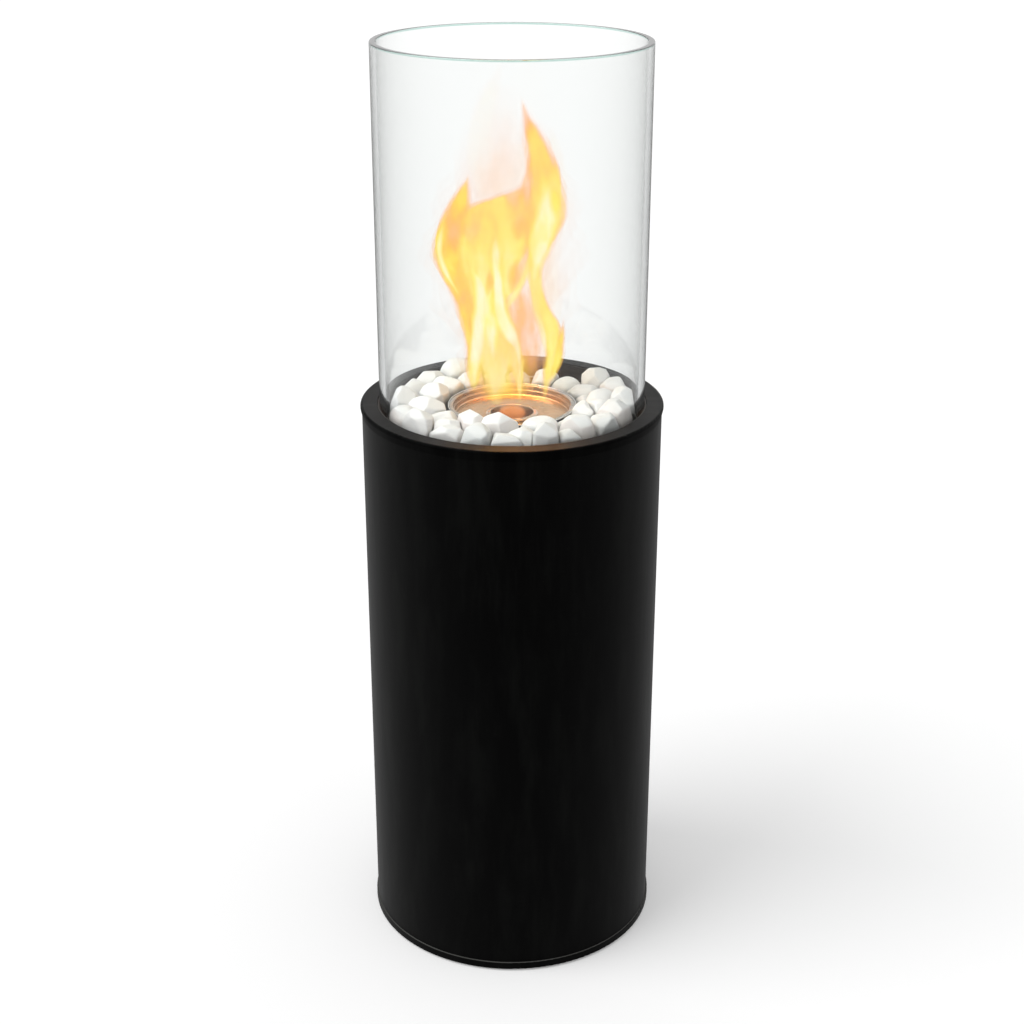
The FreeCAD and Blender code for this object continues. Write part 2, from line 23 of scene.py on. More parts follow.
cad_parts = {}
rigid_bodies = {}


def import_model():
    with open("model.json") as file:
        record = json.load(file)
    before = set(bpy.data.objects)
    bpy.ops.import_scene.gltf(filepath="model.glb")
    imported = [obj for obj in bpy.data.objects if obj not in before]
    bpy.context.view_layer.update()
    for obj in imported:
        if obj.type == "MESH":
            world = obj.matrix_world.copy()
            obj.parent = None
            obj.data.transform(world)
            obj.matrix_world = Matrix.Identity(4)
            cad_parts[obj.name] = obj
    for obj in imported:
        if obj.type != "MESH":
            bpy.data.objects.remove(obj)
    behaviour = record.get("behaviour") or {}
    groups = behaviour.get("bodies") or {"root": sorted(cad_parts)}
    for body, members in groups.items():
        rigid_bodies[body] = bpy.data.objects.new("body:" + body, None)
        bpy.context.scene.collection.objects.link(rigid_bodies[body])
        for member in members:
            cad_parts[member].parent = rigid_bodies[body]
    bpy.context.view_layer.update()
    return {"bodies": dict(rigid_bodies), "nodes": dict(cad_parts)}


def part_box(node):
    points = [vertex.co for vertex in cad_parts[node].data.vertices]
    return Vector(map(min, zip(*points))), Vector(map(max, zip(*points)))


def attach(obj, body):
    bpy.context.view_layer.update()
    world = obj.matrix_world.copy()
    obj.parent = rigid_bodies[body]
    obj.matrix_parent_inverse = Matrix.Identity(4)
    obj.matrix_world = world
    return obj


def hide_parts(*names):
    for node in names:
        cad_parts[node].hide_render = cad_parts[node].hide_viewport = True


LOG = logging.getLogger("fireplace")
MM = 0.001
Colour = tuple[float, float, float]
Settings = Mapping[str, object]
Sockets = Mapping[object, object]
WHITE: Colour = (1.0, 1.0, 1.0)
BLACK: Colour = (0.0, 0.0, 0.0)


def opaque(colour: Colour) -> tuple[float, float, float, float]:
    """Colour with full alpha, as a colour socket takes it."""
    return (*colour, 1.0)


class Wire:
    """Output of a node that Python operators extend with Math nodes."""

    def __init__(self, graph: "Graph", socket: bpy.types.NodeSocket) -> None:
        """Wrap one output socket of a graph."""
        self.graph = graph
        self.socket = socket

    def output(self, name: str) -> "Wire":
        """Another output of the same node."""
        return Wire(self.graph, self.socket.node.outputs[name])

    def maths(self, operation: str, *values: object) -> "Wire":
        """Math node on this wire.

        Args:
            operation: Blender's name of the operation.
            values: Wires or numbers for the node's inputs, in order.

        Returns:
            The node's result.
        """
        return self.graph.node("ShaderNodeMath", {"operation": operation}, dict(enumerate(values)))

    def __add__(self, other: object) -> "Wire":
        """Sum."""
        return self.maths("ADD", self, other)

    def __sub__(self, other: object) -> "Wire":
        """Difference."""
        return self.maths("SUBTRACT", self, other)

    def __rsub__(self, other: object) -> "Wire":
        """Difference from a number."""
        return self.maths("SUBTRACT", other, self)

    def __mul__(self, other: object) -> "Wire":
        """Product."""
        return self.maths("MULTIPLY", self, other)

    def __truediv__(self, other: object) -> "Wire":
        """Quotient."""
        return self.maths("DIVIDE", self, other)

    def __rtruediv__(self, other: object) -> "Wire":
        """Quotient of a number."""
        return self.maths("DIVIDE", other, self)

    def __pow__(self, other: object) -> "Wire":
        """Power."""
        return self.maths("POWER", self, other)

    __radd__ = __add__
    __rmul__ = __mul__

    def step(self, low: float, high: float) -> "Wire":
        """Smooth change from 0 at the low value to 1 at the high one, which may lie below it."""
        return self.graph.node(
            "ShaderNodeMapRange",
            {"interpolation_type": "SMOOTHSTEP"},
            {"Value": self, "From Min": low, "From Max": high},
        )


class Graph:
    """Node tree in the making."""

    def __init__(self, tree: bpy.types.NodeTree) -> None:
        """Start on an empty tree."""
        self.tree = tree

    def node(self, kind: str, settings: Settings | None = None, sockets: Sockets | None = None) -> Wire:
        """Add any node.

        Args:
            kind: Blender's type name of the node.
            settings: Properties set first; "stops" gives a ramp its (place, colour) stops.
            sockets: Input names or numbers with wires, lists of wires or plain values.

        Returns:
            The node's first output.
        """
        made = self.tree.nodes.new(kind)
        for name, value in (settings or {}).items():
            if name == "stops":
                self._set_stops(made.color_ramp, value)
            else:
                setattr(made, name, value)
        for key, value in (sockets or {}).items():
            wires = value if isinstance(value, list) else [value]
            if isinstance(wires[0], Wire):
                for wire in wires:
                    self.tree.links.new(wire.socket, made.inputs[key])
            else:
                made.inputs[key].default_value = value
        return Wire(self, next((out for out in made.outputs if out.enabled), None))

    @staticmethod
    def _set_stops(ramp: bpy.types.ColorRamp, stops: Sequence[tuple[float, Colour]]) -> None:
        """Give a colour ramp its stops, in order."""
        while len(ramp.elements) < len(stops):
            ramp.elements.new(1.0)
        for element, (place, colour) in zip(ramp.elements, stops):
            element.position = place
            element.color = opaque(colour)


class Look(Graph):
    """Material in the making, with the patterns that the finishes share."""

    def __init__(self, name: str) -> None:
        """Start an empty material."""
        self.material = bpy.data.materials.new(name)
        self.material.use_nodes = True
        super().__init__(self.material.node_tree)
        self.tree.nodes.clear()
        self._place = None

    @property
    def place(self) -> Wire:
        """Place on the object, in metres."""
        if self._place is None:
            self._place = self.node("ShaderNodeTexCoord").output("Object")
        return self._place

    def polar(self) -> tuple[Wire, Wire, Wire]:
        """Place as turn about the upright axis, distance from it, and height."""
        parts = self.node("ShaderNodeSeparateXYZ", None, {0: self.place})
        across, deep = parts, parts.output("Y")
        turn = deep.maths("ARCTAN2", deep, across)
        return turn, (across * across + deep * deep) ** 0.5, parts.output("Z")

    def stretched(self, scale: tuple[float, float, float]) -> Wire:
        """Place scaled along each axis."""
        sockets = {"Vector": self.place, "Scale": scale}
        return self.node("ShaderNodeMapping", {"vector_type": "POINT"}, sockets)

    def vector(self, x: object, y: object, z: object) -> Wire:
        """Vector of three wires or numbers."""
        return self.node("ShaderNodeCombineXYZ", None, {0: x, 1: y, 2: z})

    def unrolled(self, around: float, up: float) -> Wire:
        """Place on an unrolled cylinder, scaled for each radian round and each metre up."""
        turn, _, height = self.polar()
        return self.vector(turn * around, height * up, 0.0)

    def attribute(self, name: str) -> Wire:
        """Number that each point of the mesh carries under a name."""
        return self.node("ShaderNodeAttribute", {"attribute_name": name}).output("Fac")

    def noise(self, where: Wire, scale: float, detail: float, rough: float = 0.5) -> Wire:
        """Soft noise from 0 to 1.

        Args:
            where: Vector that the noise is read at.
            scale: Waves in a metre.
            detail: Finer layers.
            rough: Weight of the finer layers.

        Returns:
            The noise value.
        """
        sockets = {"Vector": where, "Scale": scale, "Detail": detail, "Roughness": rough}
        return self.node("ShaderNodeTexNoise", {"normalize": True}, sockets)

    def mix(self, factor: object, first: object, second: object) -> Wire:
        """Blend of two colours, each a wire or a plain colour."""
        sides = [side if isinstance(side, Wire) else opaque(side) for side in (first, second)]
        made = self.node("ShaderNodeMix", {"data_type": "RGBA"}, {0: factor, 6: sides[0], 7: sides[1]})
        return Wire(self, made.socket.node.outputs[2])

    def ramp(self, factor: Wire, stops: Sequence[tuple[float, Colour]]) -> Wire:
        """Colour from a ramp."""
        return self.node("ShaderNodeValToRGB", {"stops": stops}, {"Fac": factor})

    def bump(self, height: Wire, depth: float, strength: float) -> Wire:
        """Normal of a surface with relief of the given depth in metres."""
        return self.node("ShaderNodeBump", None, {"Height": height, "Distance": depth, "Strength": strength})

    def principled(self, sockets: Sockets) -> Wire:
        """Principled shader with the given sockets."""
        return self.node("ShaderNodeBsdfPrincipled", None, sockets)

    def done(self, surface: Wire, volume: Wire | None = None) -> bpy.types.Material:
        """Close the material with its output and return it."""
        sockets = {"Surface": surface}
        if volume is not None:
            sockets["Volume"] = volume
        self.node("ShaderNodeOutputMaterial", None, sockets)
        return self.material


class Finish:
    """Surface finish that is made once and shared by the pieces that have it."""

    name: str

    def material(self) -> bpy.types.Material:
        """The finish as a material."""
        return bpy.data.materials.get(self.name) or self.make(Look(self.name))

    def make(self, look: Look) -> bpy.types.Material:
        """Build the material's nodes."""
        raise NotImplementedError


@dataclass(frozen=True)
class PowderCoat(Finish):
    """Matt black powder coat with faint upright streaks and a fine orange peel.

    Fields:
        lacquer_level: Height from which the lacquer lies on the coat.
        painted_highlight_level: Height of an edge that gets a painted highlight, a paler band for light
            caught on its rounding, if there is one.
        streaks: Streaks for each radian round and each metre up.
        threads: Fine threads, counted in the same way.
        clouds: Clouds in a metre.
        peel: Dimples of the orange peel in a metre.
    """

    name: str = "coat_matt_black"
    deep: Colour = (0.0004, 0.0004, 0.0004)
    worn: Colour = (0.0028, 0.003, 0.0027)
    rough: float = 0.4
    shine: float = 0.014
    sheen: float = 0.145
    lacquer: float = 0.0
    lacquer_level: float = 0.0
    painted_highlight_colour: Colour = (0.09, 0.09, 0.085)
    painted_highlight_level: float | None = None
    painted_highlight_band: tuple[float, float] = (0.5 * MM, 0.1 * MM)
    lacquer_fade: float = 0.3 * MM
    streaks: tuple[float, float] = (5.72, 6.76)
    threads: tuple[float, float] = (70.0, 26.0)
    clouds: float = 6.5
    peel: float = 760.0
    peel_depth: float = 0.05 * MM

    def make(self, look: Look) -> bpy.types.Material:
        """Build the coat's nodes."""
        _, _, height = look.polar()
        streak = look.noise(look.unrolled(*self.streaks), 1.0, 6.0, 0.66)
        thread = look.noise(look.unrolled(*self.threads), 1.0, 2.0)
        cloud = look.noise(look.place, self.clouds, 4.0, 0.6)
        peel = look.noise(look.place, self.peel, 2.0)
        wear = streak.step(0.42, 0.72) * 0.75 + thread.step(0.5, 0.8) * 0.25
        colour = look.mix(wear, self.deep, self.worn)
        # A paler band just under the set height is a painted highlight: it stands in for light caught on the
        # rounded top edge.
        if self.painted_highlight_level is not None:
            edge = height.step(*(self.painted_highlight_level - below for below in self.painted_highlight_band))
            colour = look.mix(edge * (0.5 + 0.5 * cloud), colour, self.painted_highlight_colour)
        lacquered = height.step(self.lacquer_level, self.lacquer_level + self.lacquer_fade)
        shader = look.principled({
            "Base Color": colour,
            "Roughness": self.rough + 0.2 * cloud - 0.16 * wear,
            "Specular IOR Level": self.shine,
            "Coat Weight": lacquered * self.lacquer,
            "Coat Roughness": 0.3,
            "Sheen Weight": self.sheen,
            "Sheen Roughness": 0.4,
            "Normal": look.bump(peel + thread * 0.6, self.peel_depth, 0.6),
        })
        return look.done(shader)


@dataclass(frozen=True)
class HeatEnamel(Finish):
    """Satin black enamel that browns near the fire."""

    name: str = "enamel_satin_black"
    cold: Colour = (0.012, 0.012, 0.0115)
    browned: Colour = (0.035, 0.024, 0.017)
    cold_radius: float = 130 * MM
    brown_radius: float = 60 * MM
    clouds: float = 24.0
    grain: float = 900.0

    def make(self, look: Look) -> bpy.types.Material:
        """Build the enamel's nodes."""
        _, radius, _ = look.polar()
        cloud = look.noise(look.place, self.clouds, 5.0, 0.6)
        grain = look.noise(look.place, self.grain, 2.0)
        browning = radius.step(self.cold_radius, self.brown_radius) * 0.6 + cloud.step(0.5, 0.75) * 0.4
        shader = look.principled({
            "Base Color": look.mix(browning, self.cold, self.browned),
            "Roughness": 0.34 + 0.2 * cloud,
            "Specular IOR Level": 0.3,
            "Normal": look.bump(grain, 0.04 * MM, 0.5),
        })
        return look.done(shader)


@dataclass(frozen=True)
class ZincPlate(Finish):
    """Zinc plated steel with a mottled passivated film."""

    name: str = "steel_zinc_plated"
    cool: Colour = (0.52, 0.55, 0.58)
    straw: Colour = (0.62, 0.58, 0.47)
    mottles: float = 160.0
    grain: float = 2400.0

    def make(self, look: Look) -> bpy.types.Material:
        """Build the plating's nodes."""
        mottle = look.noise(look.place, self.mottles, 4.0, 0.65)
        grain = look.noise(look.place, self.grain, 2.0)
        shader = look.principled({
            "Base Color": look.mix(mottle.step(0.4, 0.7), self.cool, self.straw),
            "Metallic": 1.0,
            "Roughness": 0.26 + 0.22 * mottle,
            "Normal": look.bump(grain, 0.02 * MM, 0.5),
        })
        return look.done(shader)


@dataclass(frozen=True)
class HeatSteel(Finish):
    """Spun stainless steel with turning lines and heat tints that grow towards the flame; the bronze and
    straw tints are also lightened and warmed as a painted reflection of the flame.

    Fields:
        tints: Shares of the rim's radius where bronze ends, straw begins and ends, and plain steel begins.
        sooty: Radii between which soot gathers towards the mouth.
        sway: How far clouds push the tints in and out.
        lines: Turning lines in a metre.
        clouds: Clouds in a metre.
    """

    name: str = "steel_heat_tinted"
    plain: Colour = (0.42, 0.4, 0.37)
    straw: Colour = (0.54, 0.37, 0.21)
    bronze: Colour = (0.55, 0.34, 0.17)
    soot: Colour = (0.07, 0.055, 0.045)
    rough: float = 0.16
    dirt: float = 0.3
    rim_radius: float = 66 * MM
    tints: tuple[float, float, float, float] = (0.36, 0.55, 0.82, 0.98)
    sooty: tuple[float, float] = (30 * MM, 20 * MM)
    sway: float = 30 * MM
    lines: float = 900.0
    clouds: float = 38.0

    def make(self, look: Look) -> bpy.types.Material:
        """Build the steel's nodes."""
        turn, radius, height = look.polar()
        turned_place = look.vector(turn * 1.2, radius * self.lines, height * self.lines)
        lines = look.noise(turned_place, 2.2, 3.0, 0.7)
        cloud = look.noise(look.place, self.clouds, 5.0, 0.6)
        heat = radius + (cloud - 0.5) * self.sway
        # Bronze and straw near the mouth are partly real heat tint and partly a painted reflection of the
        # flame's warm light.
        zones = (self.bronze, self.straw, self.straw, self.plain)
        heat_tint_and_flame_reflection = look.ramp(heat / self.rim_radius, [(0.0, self.bronze), *zip(self.tints, zones)])
        dirt = cloud.step(0.52, 0.78) * self.dirt + radius.step(*self.sooty) * 0.25
        shader = look.principled({
            "Base Color": look.mix(dirt, heat_tint_and_flame_reflection, self.soot),
            "Metallic": 1.0 - 0.35 * dirt,
            "Roughness": self.rough + 0.16 * lines + 0.2 * dirt,
            "Normal": look.bump(lines, 0.03 * MM, 0.5),
        })
        return look.done(shader)


@dataclass(frozen=True)
class ClearGlass(Finish):
    """Clear tempered glass, mint along its polished edges, grey-green through its depth."""

    name: str = "glass_clear"
    rim_height: float = 920.5 * MM
    rim_fade: float = 0.6 * MM
    rim_tint: Colour = (0.43, 0.66, 0.6)
    body_tint: Colour = (0.985, 0.99, 0.987)
    painted_grazing_colour: Colour = (0.0, 0.01, 0.008)
    painted_grazing_shade: float = 0.36
    painted_grazing_line: float = 0.5
    depth_colour: Colour = (0.42, 0.5, 0.46)
    depth_density: float = 8.0
    shadow_tint: Colour = (0.93, 0.945, 0.94)
    bending: float = 1.47
    wave_depth: float = 0.25 * MM

    def make(self, look: Look) -> bpy.types.Material:
        """Build the glass's nodes."""
        _, _, height = look.polar()
        rim = height.step(self.rim_height - self.rim_fade, self.rim_height)
        # Darker towards grazing angles and along the silhouette: painted shade that stands in for the glass's
        # reflections of darker surroundings.
        facing = look.node("ShaderNodeLayerWeight", None, {"Blend": 0.5}).output("Facing")
        shade = facing**2.0 * self.painted_grazing_shade + facing**6.0 * self.painted_grazing_line
        haze = look.noise(look.place, 9.0, 4.0, 0.6)
        wave = look.noise(look.stretched((1.0, 1.0, 0.35)), 5.0, 1.0)
        glass = look.principled({
            "Base Color": look.mix(shade, look.mix(rim, self.body_tint, self.rim_tint), self.painted_grazing_colour),
            "Roughness": haze.step(0.55, 0.9) * 0.02,
            "IOR": self.bending,
            "Transmission Weight": 1.0,
            "Normal": look.bump(wave, self.wave_depth, 0.25),
        })
        clear = look.node("ShaderNodeBsdfTransparent", None, {"Color": opaque(self.shadow_tint)})
        lamp = look.node("ShaderNodeLightPath").output("Is Shadow Ray")
        shader = look.node("ShaderNodeMixShader", None, {0: lamp, 1: glass, 2: clear})
        depth = look.node(
            "ShaderNodeVolumeAbsorption",
            None,
            {"Color": opaque(self.depth_colour), "Density": self.depth_density},
        )
        return look.done(shader, depth)


@dataclass(frozen=True)
class WhiteStone(Finish):
    """Tumbled white stone with soft grey clouds, fine pits and a tone of its own for each stone.

    Fields:
        tone, lean: Names of the numbers that each stone's points carry; lean, how far a point's normal faces
            up, sets the painted shade on the stones' sides.
        foot: Heights between which the stones darken towards the tray, a painted shade for the gaps between
            them.
        clouds, veins, pits: Waves in a metre.
    """

    name: str = "stone_white"
    white: Colour = (0.945, 0.945, 0.94)
    grey: Colour = (0.8, 0.82, 0.84)
    painted_flame_glow: Colour = (0.8, 0.72, 0.69)
    shade: Colour = (0.16, 0.155, 0.15)
    side: Colour = (0.52, 0.53, 0.54)
    tone: str = "tone"
    lean: str = "lean"
    foot: tuple[float, float] = (578 * MM, 561 * MM)
    foot_sway: float = 12 * MM
    clouds: float = 60.0
    veins: float = 95.0
    pits: float = 1100.0
    pit_depth: float = 0.16 * MM

    def make(self, look: Look) -> bpy.types.Material:
        """Build the stone's nodes."""
        tone, lean = look.attribute(self.tone), look.attribute(self.lean)
        cloud = look.noise(look.place, self.clouds, 5.0, 0.6)
        vein = look.noise(look.stretched((1.0, 1.6, 0.7)), self.veins, 6.0, 0.7)
        pits = look.noise(look.place, self.pits, 3.0, 0.6)
        body = look.mix(cloud.step(0.48, 0.78) * 0.6, self.white, self.grey)
        # Painted shade: faces that lean away from up turn grey, standing in for shade on the stones' sides.
        body = look.mix(lean.step(0.7, -0.15) * 0.58, body, self.side)
        # Pink on the sloping faces of some stones: painted warm light from the flame.
        body = look.mix(tone.step(0.45, 0.9) * lean.step(0.9, 0.4) * 0.7, body, self.painted_flame_glow)
        body = look.mix(vein.step(0.62, 0.72) * 0.25, body, self.grey)
        # Painted shade: the stones darken towards the tray, standing in for shade in the gaps between them.
        _, _, height = look.polar()
        low = (height + (cloud - 0.5) * self.foot_sway).step(*self.foot)
        body = look.mix(low * 0.9, body, self.shade)
        shader = look.principled({
            "Base Color": body,
            "Roughness": 0.6 + 0.25 * cloud,
            "Specular IOR Level": 0.15,
            "Normal": look.bump(pits * 0.5 + cloud * 1.5, self.pit_depth, 0.6),
        })
        return look.done(shader)


@dataclass(frozen=True)
class FibreBraid(Finish):
    """Pale braided glass fibre."""

    name: str = "fibre_braid"
    pale: Colour = (0.5, 0.48, 0.44)
    dusty: Colour = (0.26, 0.24, 0.21)
    strands: tuple[float, float] = (900.0, 2600.0)
    dust: float = 70.0

    def make(self, look: Look) -> bpy.types.Material:
        """Build the fibre's nodes."""
        strand = look.noise(look.unrolled(*self.strands), 1.0, 2.0)
        dust = look.noise(look.place, self.dust, 4.0)
        shader = look.principled({
            "Base Color": look.mix(dust.step(0.4, 0.7), self.pale, self.dusty),
            "Roughness": 0.82 + 0.12 * strand,
            "Specular IOR Level": 0.2,
            "Sheen Weight": 0.25,
            "Normal": look.bump(strand, 0.1 * MM, 0.7),
        })
        return look.done(shader)


@dataclass(frozen=True)
class CeramicWool(Finish):
    """Matted white ceramic wool, scorched on top."""

    name: str = "wool_ceramic"
    pale: Colour = (0.8, 0.78, 0.72)
    scorched: Colour = (0.3, 0.25, 0.2)
    scorch: tuple[float, float] = (522 * MM, 531 * MM)
    tufts: float = 420.0

    def make(self, look: Look) -> bpy.types.Material:
        """Build the wool's nodes."""
        _, _, height = look.polar()
        tuft = look.noise(look.place, self.tufts, 5.0, 0.7)
        scorch = height.step(*self.scorch) * tuft.step(0.35, 0.7)
        shader = look.principled({
            "Base Color": look.mix(scorch, self.pale, self.scorched),
            "Roughness": 0.9 + 0.08 * tuft,
            "Specular IOR Level": 0.15,
            "Sheen Weight": 0.3,
            "Normal": look.bump(tuft, 0.5 * MM, 0.8),
        })
        return look.done(shader)


@dataclass(frozen=True)
class PadRubber(Finish):
    """Matt black rubber."""

    name: str = "rubber_pad"
    black: Colour = (0.014, 0.014, 0.014)
    dusty: Colour = (0.06, 0.058, 0.055)
    dust: float = 90.0
    grain: float = 1500.0

    def make(self, look: Look) -> bpy.types.Material:
        """Build the rubber's nodes."""
        dust = look.noise(look.place, self.dust, 4.0)
        grain = look.noise(look.place, self.grain, 2.0)
        shader = look.principled({
            "Base Color": look.mix(dust.step(0.5, 0.8), self.black, self.dusty),
            "Roughness": 0.74 + 0.16 * dust,
            "Specular IOR Level": 0.3,
            "Normal": look.bump(grain, 0.08 * MM, 0.6),
        })
        return look.done(shader)


@dataclass(frozen=True)
class FlameGas(Finish):
    """Glowing gas whose colour follows its heat and whose cover follows its veil."""

    name: str = "gas_flame"
    heat: str = "warmth"
    veil: str = "veil"
    glow: float = 1.12
    wisps: float = 44.0
    wisp_heat: float = 0.42
    colours: tuple[tuple[float, Colour], ...] = (
        (0.0, (1.0, 0.56, 0.36)),
        (0.2, (1.0, 0.44, 0.11)),
        (0.38, (1.0, 0.56, 0.065)),
        (0.55, (1.0, 0.83, 0.1)),
        (0.73, (1.0, 1.0, 0.21)),
        (1.0, (1.0, 1.0, 0.77)),
    )

    def make(self, look: Look) -> bpy.types.Material:
        """Build the flame's nodes."""
        heat, veil = look.attribute(self.heat), look.attribute(self.veil)
        wisp = look.noise(look.stretched((1.0, 0.15, 0.42)), self.wisps, 3.0, 0.55).step(0.28, 0.72)
        colour = look.ramp(heat + (wisp - 0.5) * self.wisp_heat, self.colours)
        shader = look.principled({
            "Base Color": opaque(BLACK),
            "Roughness": 1.0,
            "Specular IOR Level": 0.0,
            "Emission Color": colour,
            "Emission Strength": self.glow,
            "Alpha": veil * (0.55 + 0.9 * wisp),
        })
        return look.done(shader)


@dataclass(frozen=True)
class StudioFloor(Finish):
    """White studio floor that keeps the object's shadow.

    Fields:
        lift: Brightness that no shadow takes away.
        mirror_loss: Share that mirrored rays lose near the object.
        mirror_near, mirror_far: Distances between which that loss ends.
    """

    name: str = "floor_white"
    white: Colour = (0.8, 0.8, 0.8)
    lift: float = 0.19
    mirror_loss: float = 0.8
    mirror_near: float = 3.0
    mirror_far: float = 15.0

    def make(self, look: Look) -> bpy.types.Material:
        """Build the floor's nodes."""
        paint = look.node("ShaderNodeBsdfDiffuse", None, {"Color": opaque(self.white)})
        glow = look.node("ShaderNodeEmission", None, {"Color": opaque(WHITE), "Strength": self.lift})
        lit = look.node("ShaderNodeAddShader", None, {0: paint, 1: glow})
        dim = look.node("ShaderNodeBsdfDiffuse", None, {"Color": opaque(BLACK)})
        path = look.node("ShaderNodeLightPath")
        _, radius, _ = look.polar()
        mirrored = path.output("Is Glossy Ray") * (1.0 - path.output("Is Transmission Ray"))
        mirrored = mirrored * self.mirror_loss * radius.step(self.mirror_far, self.mirror_near)
        return look.done(look.node("ShaderNodeMixShader", None, {0: mirrored, 1: lit, 2: dim}))


class Recipe(Graph):
    """Geometry Nodes tree in the making, with named inputs."""

    def __init__(self, name: str, inputs: Mapping[str, str]) -> None:
        """Start a tree.

        Args:
            name: Name of the tree.
            inputs: Input names with their socket types, after the geometry.
        """
        group = bpy.data.node_groups.new(name, "GeometryNodeTree")
        face = group.interface
        face.new_socket("Geometry", in_out="OUTPUT", socket_type="NodeSocketGeometry")
        face.new_socket("Geometry", in_out="INPUT", socket_type="NodeSocketGeometry")
        self.ids = {
            label: face.new_socket(label, in_out="INPUT", socket_type=kind).identifier
            for label, kind in inputs.items()
        }
        super().__init__(group)
        self.given = self.node("NodeGroupInput")

    def upright(self, value: Wire) -> Wire:
        """Vector with a length or turn for the upright axis alone."""
        return self.node("ShaderNodeCombineXYZ", None, {2: value})

    def finish(self, shape: Wire) -> None:
        """End the tree: instances become mesh, shading is smooth and the finish goes on."""
        real = self.node("GeometryNodeRealizeInstances", None, {"Geometry": shape})
        shaded = self.node("GeometryNodeSetShadeSmooth", None, {"Geometry": real})
        dressed = self.node(
            "GeometryNodeSetMaterial", None, {"Geometry": shaded, "Material": self.given.output("Finish")}
        )
        self.node("NodeGroupOutput", None, {0: dressed})

    def cook(self, start: bpy.types.Object, values: Mapping[str, object]) -> bpy.types.Mesh:
        """Run the tree on an object and return the plain mesh.

        Args:
            start: Object whose modifiers and mesh the tree works on; it is removed afterwards.
            values: Values of the named inputs.

        Returns:
            The evaluated mesh.
        """
        modifier = start.modifiers.new(self.tree.name, "NODES")
        modifier.node_group = self.tree
        for label, value in values.items():
            modifier[self.ids[label]] = value
        made = baked(start)
        bpy.data.objects.remove(start)
        return made


def baked(source: bpy.types.Object) -> bpy.types.Mesh:
    """Plain mesh of an object with its modifiers."""
    graph = bpy.context.evaluated_depsgraph_get()
    graph.update()
    return bpy.data.meshes.new_from_object(source.evaluated_get(graph))


def placed(name: str, mesh: bpy.types.Mesh) -> bpy.types.Object:
    """New object at the origin that shows a mesh."""
    made = bpy.data.objects.new(name, mesh)
    bpy.context.scene.collection.objects.link(made)
    return made


def written(name: str, work: bmesh.types.BMesh) -> bpy.types.Mesh:
    """New mesh with the finished work, which is let go."""
    mesh = bpy.data.meshes.new(name)
    work.to_mesh(mesh)
    work.free()
    return mesh


def smooth(mesh: bpy.types.Mesh, crease: float | None = None) -> None:
    """Shade a mesh smooth, apart from edges that bend by more than a crease in degrees."""
    mesh.polygons.foreach_set("use_smooth", [True] * len(mesh.polygons))
    if crease is not None:
        mesh.set_sharp_from_angle(angle=math.radians(crease))


def mark(mesh: bpy.types.Mesh, name: str, values: np.ndarray) -> None:
    """Let each point of a mesh carry a number under a name."""
    layer = mesh.attributes.new(name, "FLOAT", "POINT")
    layer.data.foreach_set("value", values.astype(np.float32))


def from_faces(
    name: str, points: Iterable[Sequence[float]], faces: Iterable[Sequence[int]]
) -> bpy.types.Mesh:
    """Mesh from points and faces, with its normals turned outwards."""
    mesh = bpy.data.meshes.new(name)
    mesh.from_pydata([tuple(point) for point in points], [], [tuple(face) for face in faces])
    work = bmesh.new()
    work.from_mesh(mesh)
    bmesh.ops.remove_doubles(work, verts=work.verts, dist=1e-7)
    bmesh.ops.recalc_face_normals(work, faces=work.faces)
    work.to_mesh(mesh)
    work.free()
    return mesh


class Outline(Enum):
    """Shape of a turned piece's section seen along its axis."""

    ROUND = "round"
    HEX = "hexagon"
    CROSS = "cross"

    def reach(self, radius: float, turn: float) -> float:
        """Distance from the axis at a turn, for a round radius, a hexagon's half width or a cross's arm."""
        if self is Outline.HEX:
            sixth = math.pi / 3
            return radius / math.cos((turn + sixth / 2) % sixth - sixth / 2)
        if self is Outline.CROSS:
            blade = 0.26 * radius
            along, over = abs(math.cos(turn)) + 1e-9, abs(math.sin(turn)) + 1e-9
            return max(min(radius / along, blade / over), min(radius / over, blade / along))
        return radius


@dataclass(frozen=True)
class Ring:
    """One level of a turned piece."""

    radius: float
    height: float
    outline: Outline = Outline.ROUND


def turned(name: str, rings: Sequence[Ring], sides: int) -> bpy.types.Mesh:
    """Closed mesh turned about the upright axis.

    Args:
        name: Name of the mesh.
        rings: Levels in order round the section; a zero radius closes the piece on the axis.
        sides: Points in each ring.

    Returns:
        The mesh.
    """
    points = []
    for ring in rings:
        for side in range(sides):
            turn = math.tau * side / sides
            reach = ring.outline.reach(ring.radius, turn)
            points.append((reach * math.cos(turn), reach * math.sin(turn), ring.height))
    closed = rings[0].radius > 0
    faces = []
    for level in range(len(rings) if closed else len(rings) - 1):
        here, above = level * sides, (level + 1) % len(rings) * sides
        for side in range(sides):
            after = (side + 1) % sides
            faces.append((here + side, here + after, above + after, above + side))
    return from_faces(name, points, faces)


def merged_copy(name: str, node: bpy.types.Object) -> bpy.types.Object:
    """Object with a copy of a CAD node's mesh whose loose triangles are joined."""
    work = bmesh.new()
    work.from_mesh(node.data)
    bmesh.ops.remove_doubles(work, verts=work.verts, dist=1e-6)
    return placed(name, written(name, work))


def settle(piece: bpy.types.Object, body: str, nodes: Sequence[str]) -> None:
    """Let a finished piece ride on its body in place of the CAD nodes it stands for.

    Args:
        piece: The finished piece.
        body: Name of the CAD body that it rides on.
        nodes: CAD nodes that the piece replaces.
    """
    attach(piece, body)
    if nodes:
        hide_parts(*nodes)
    LOG.info("%s rides on %s, %d faces", piece.name, body, len(piece.data.polygons))


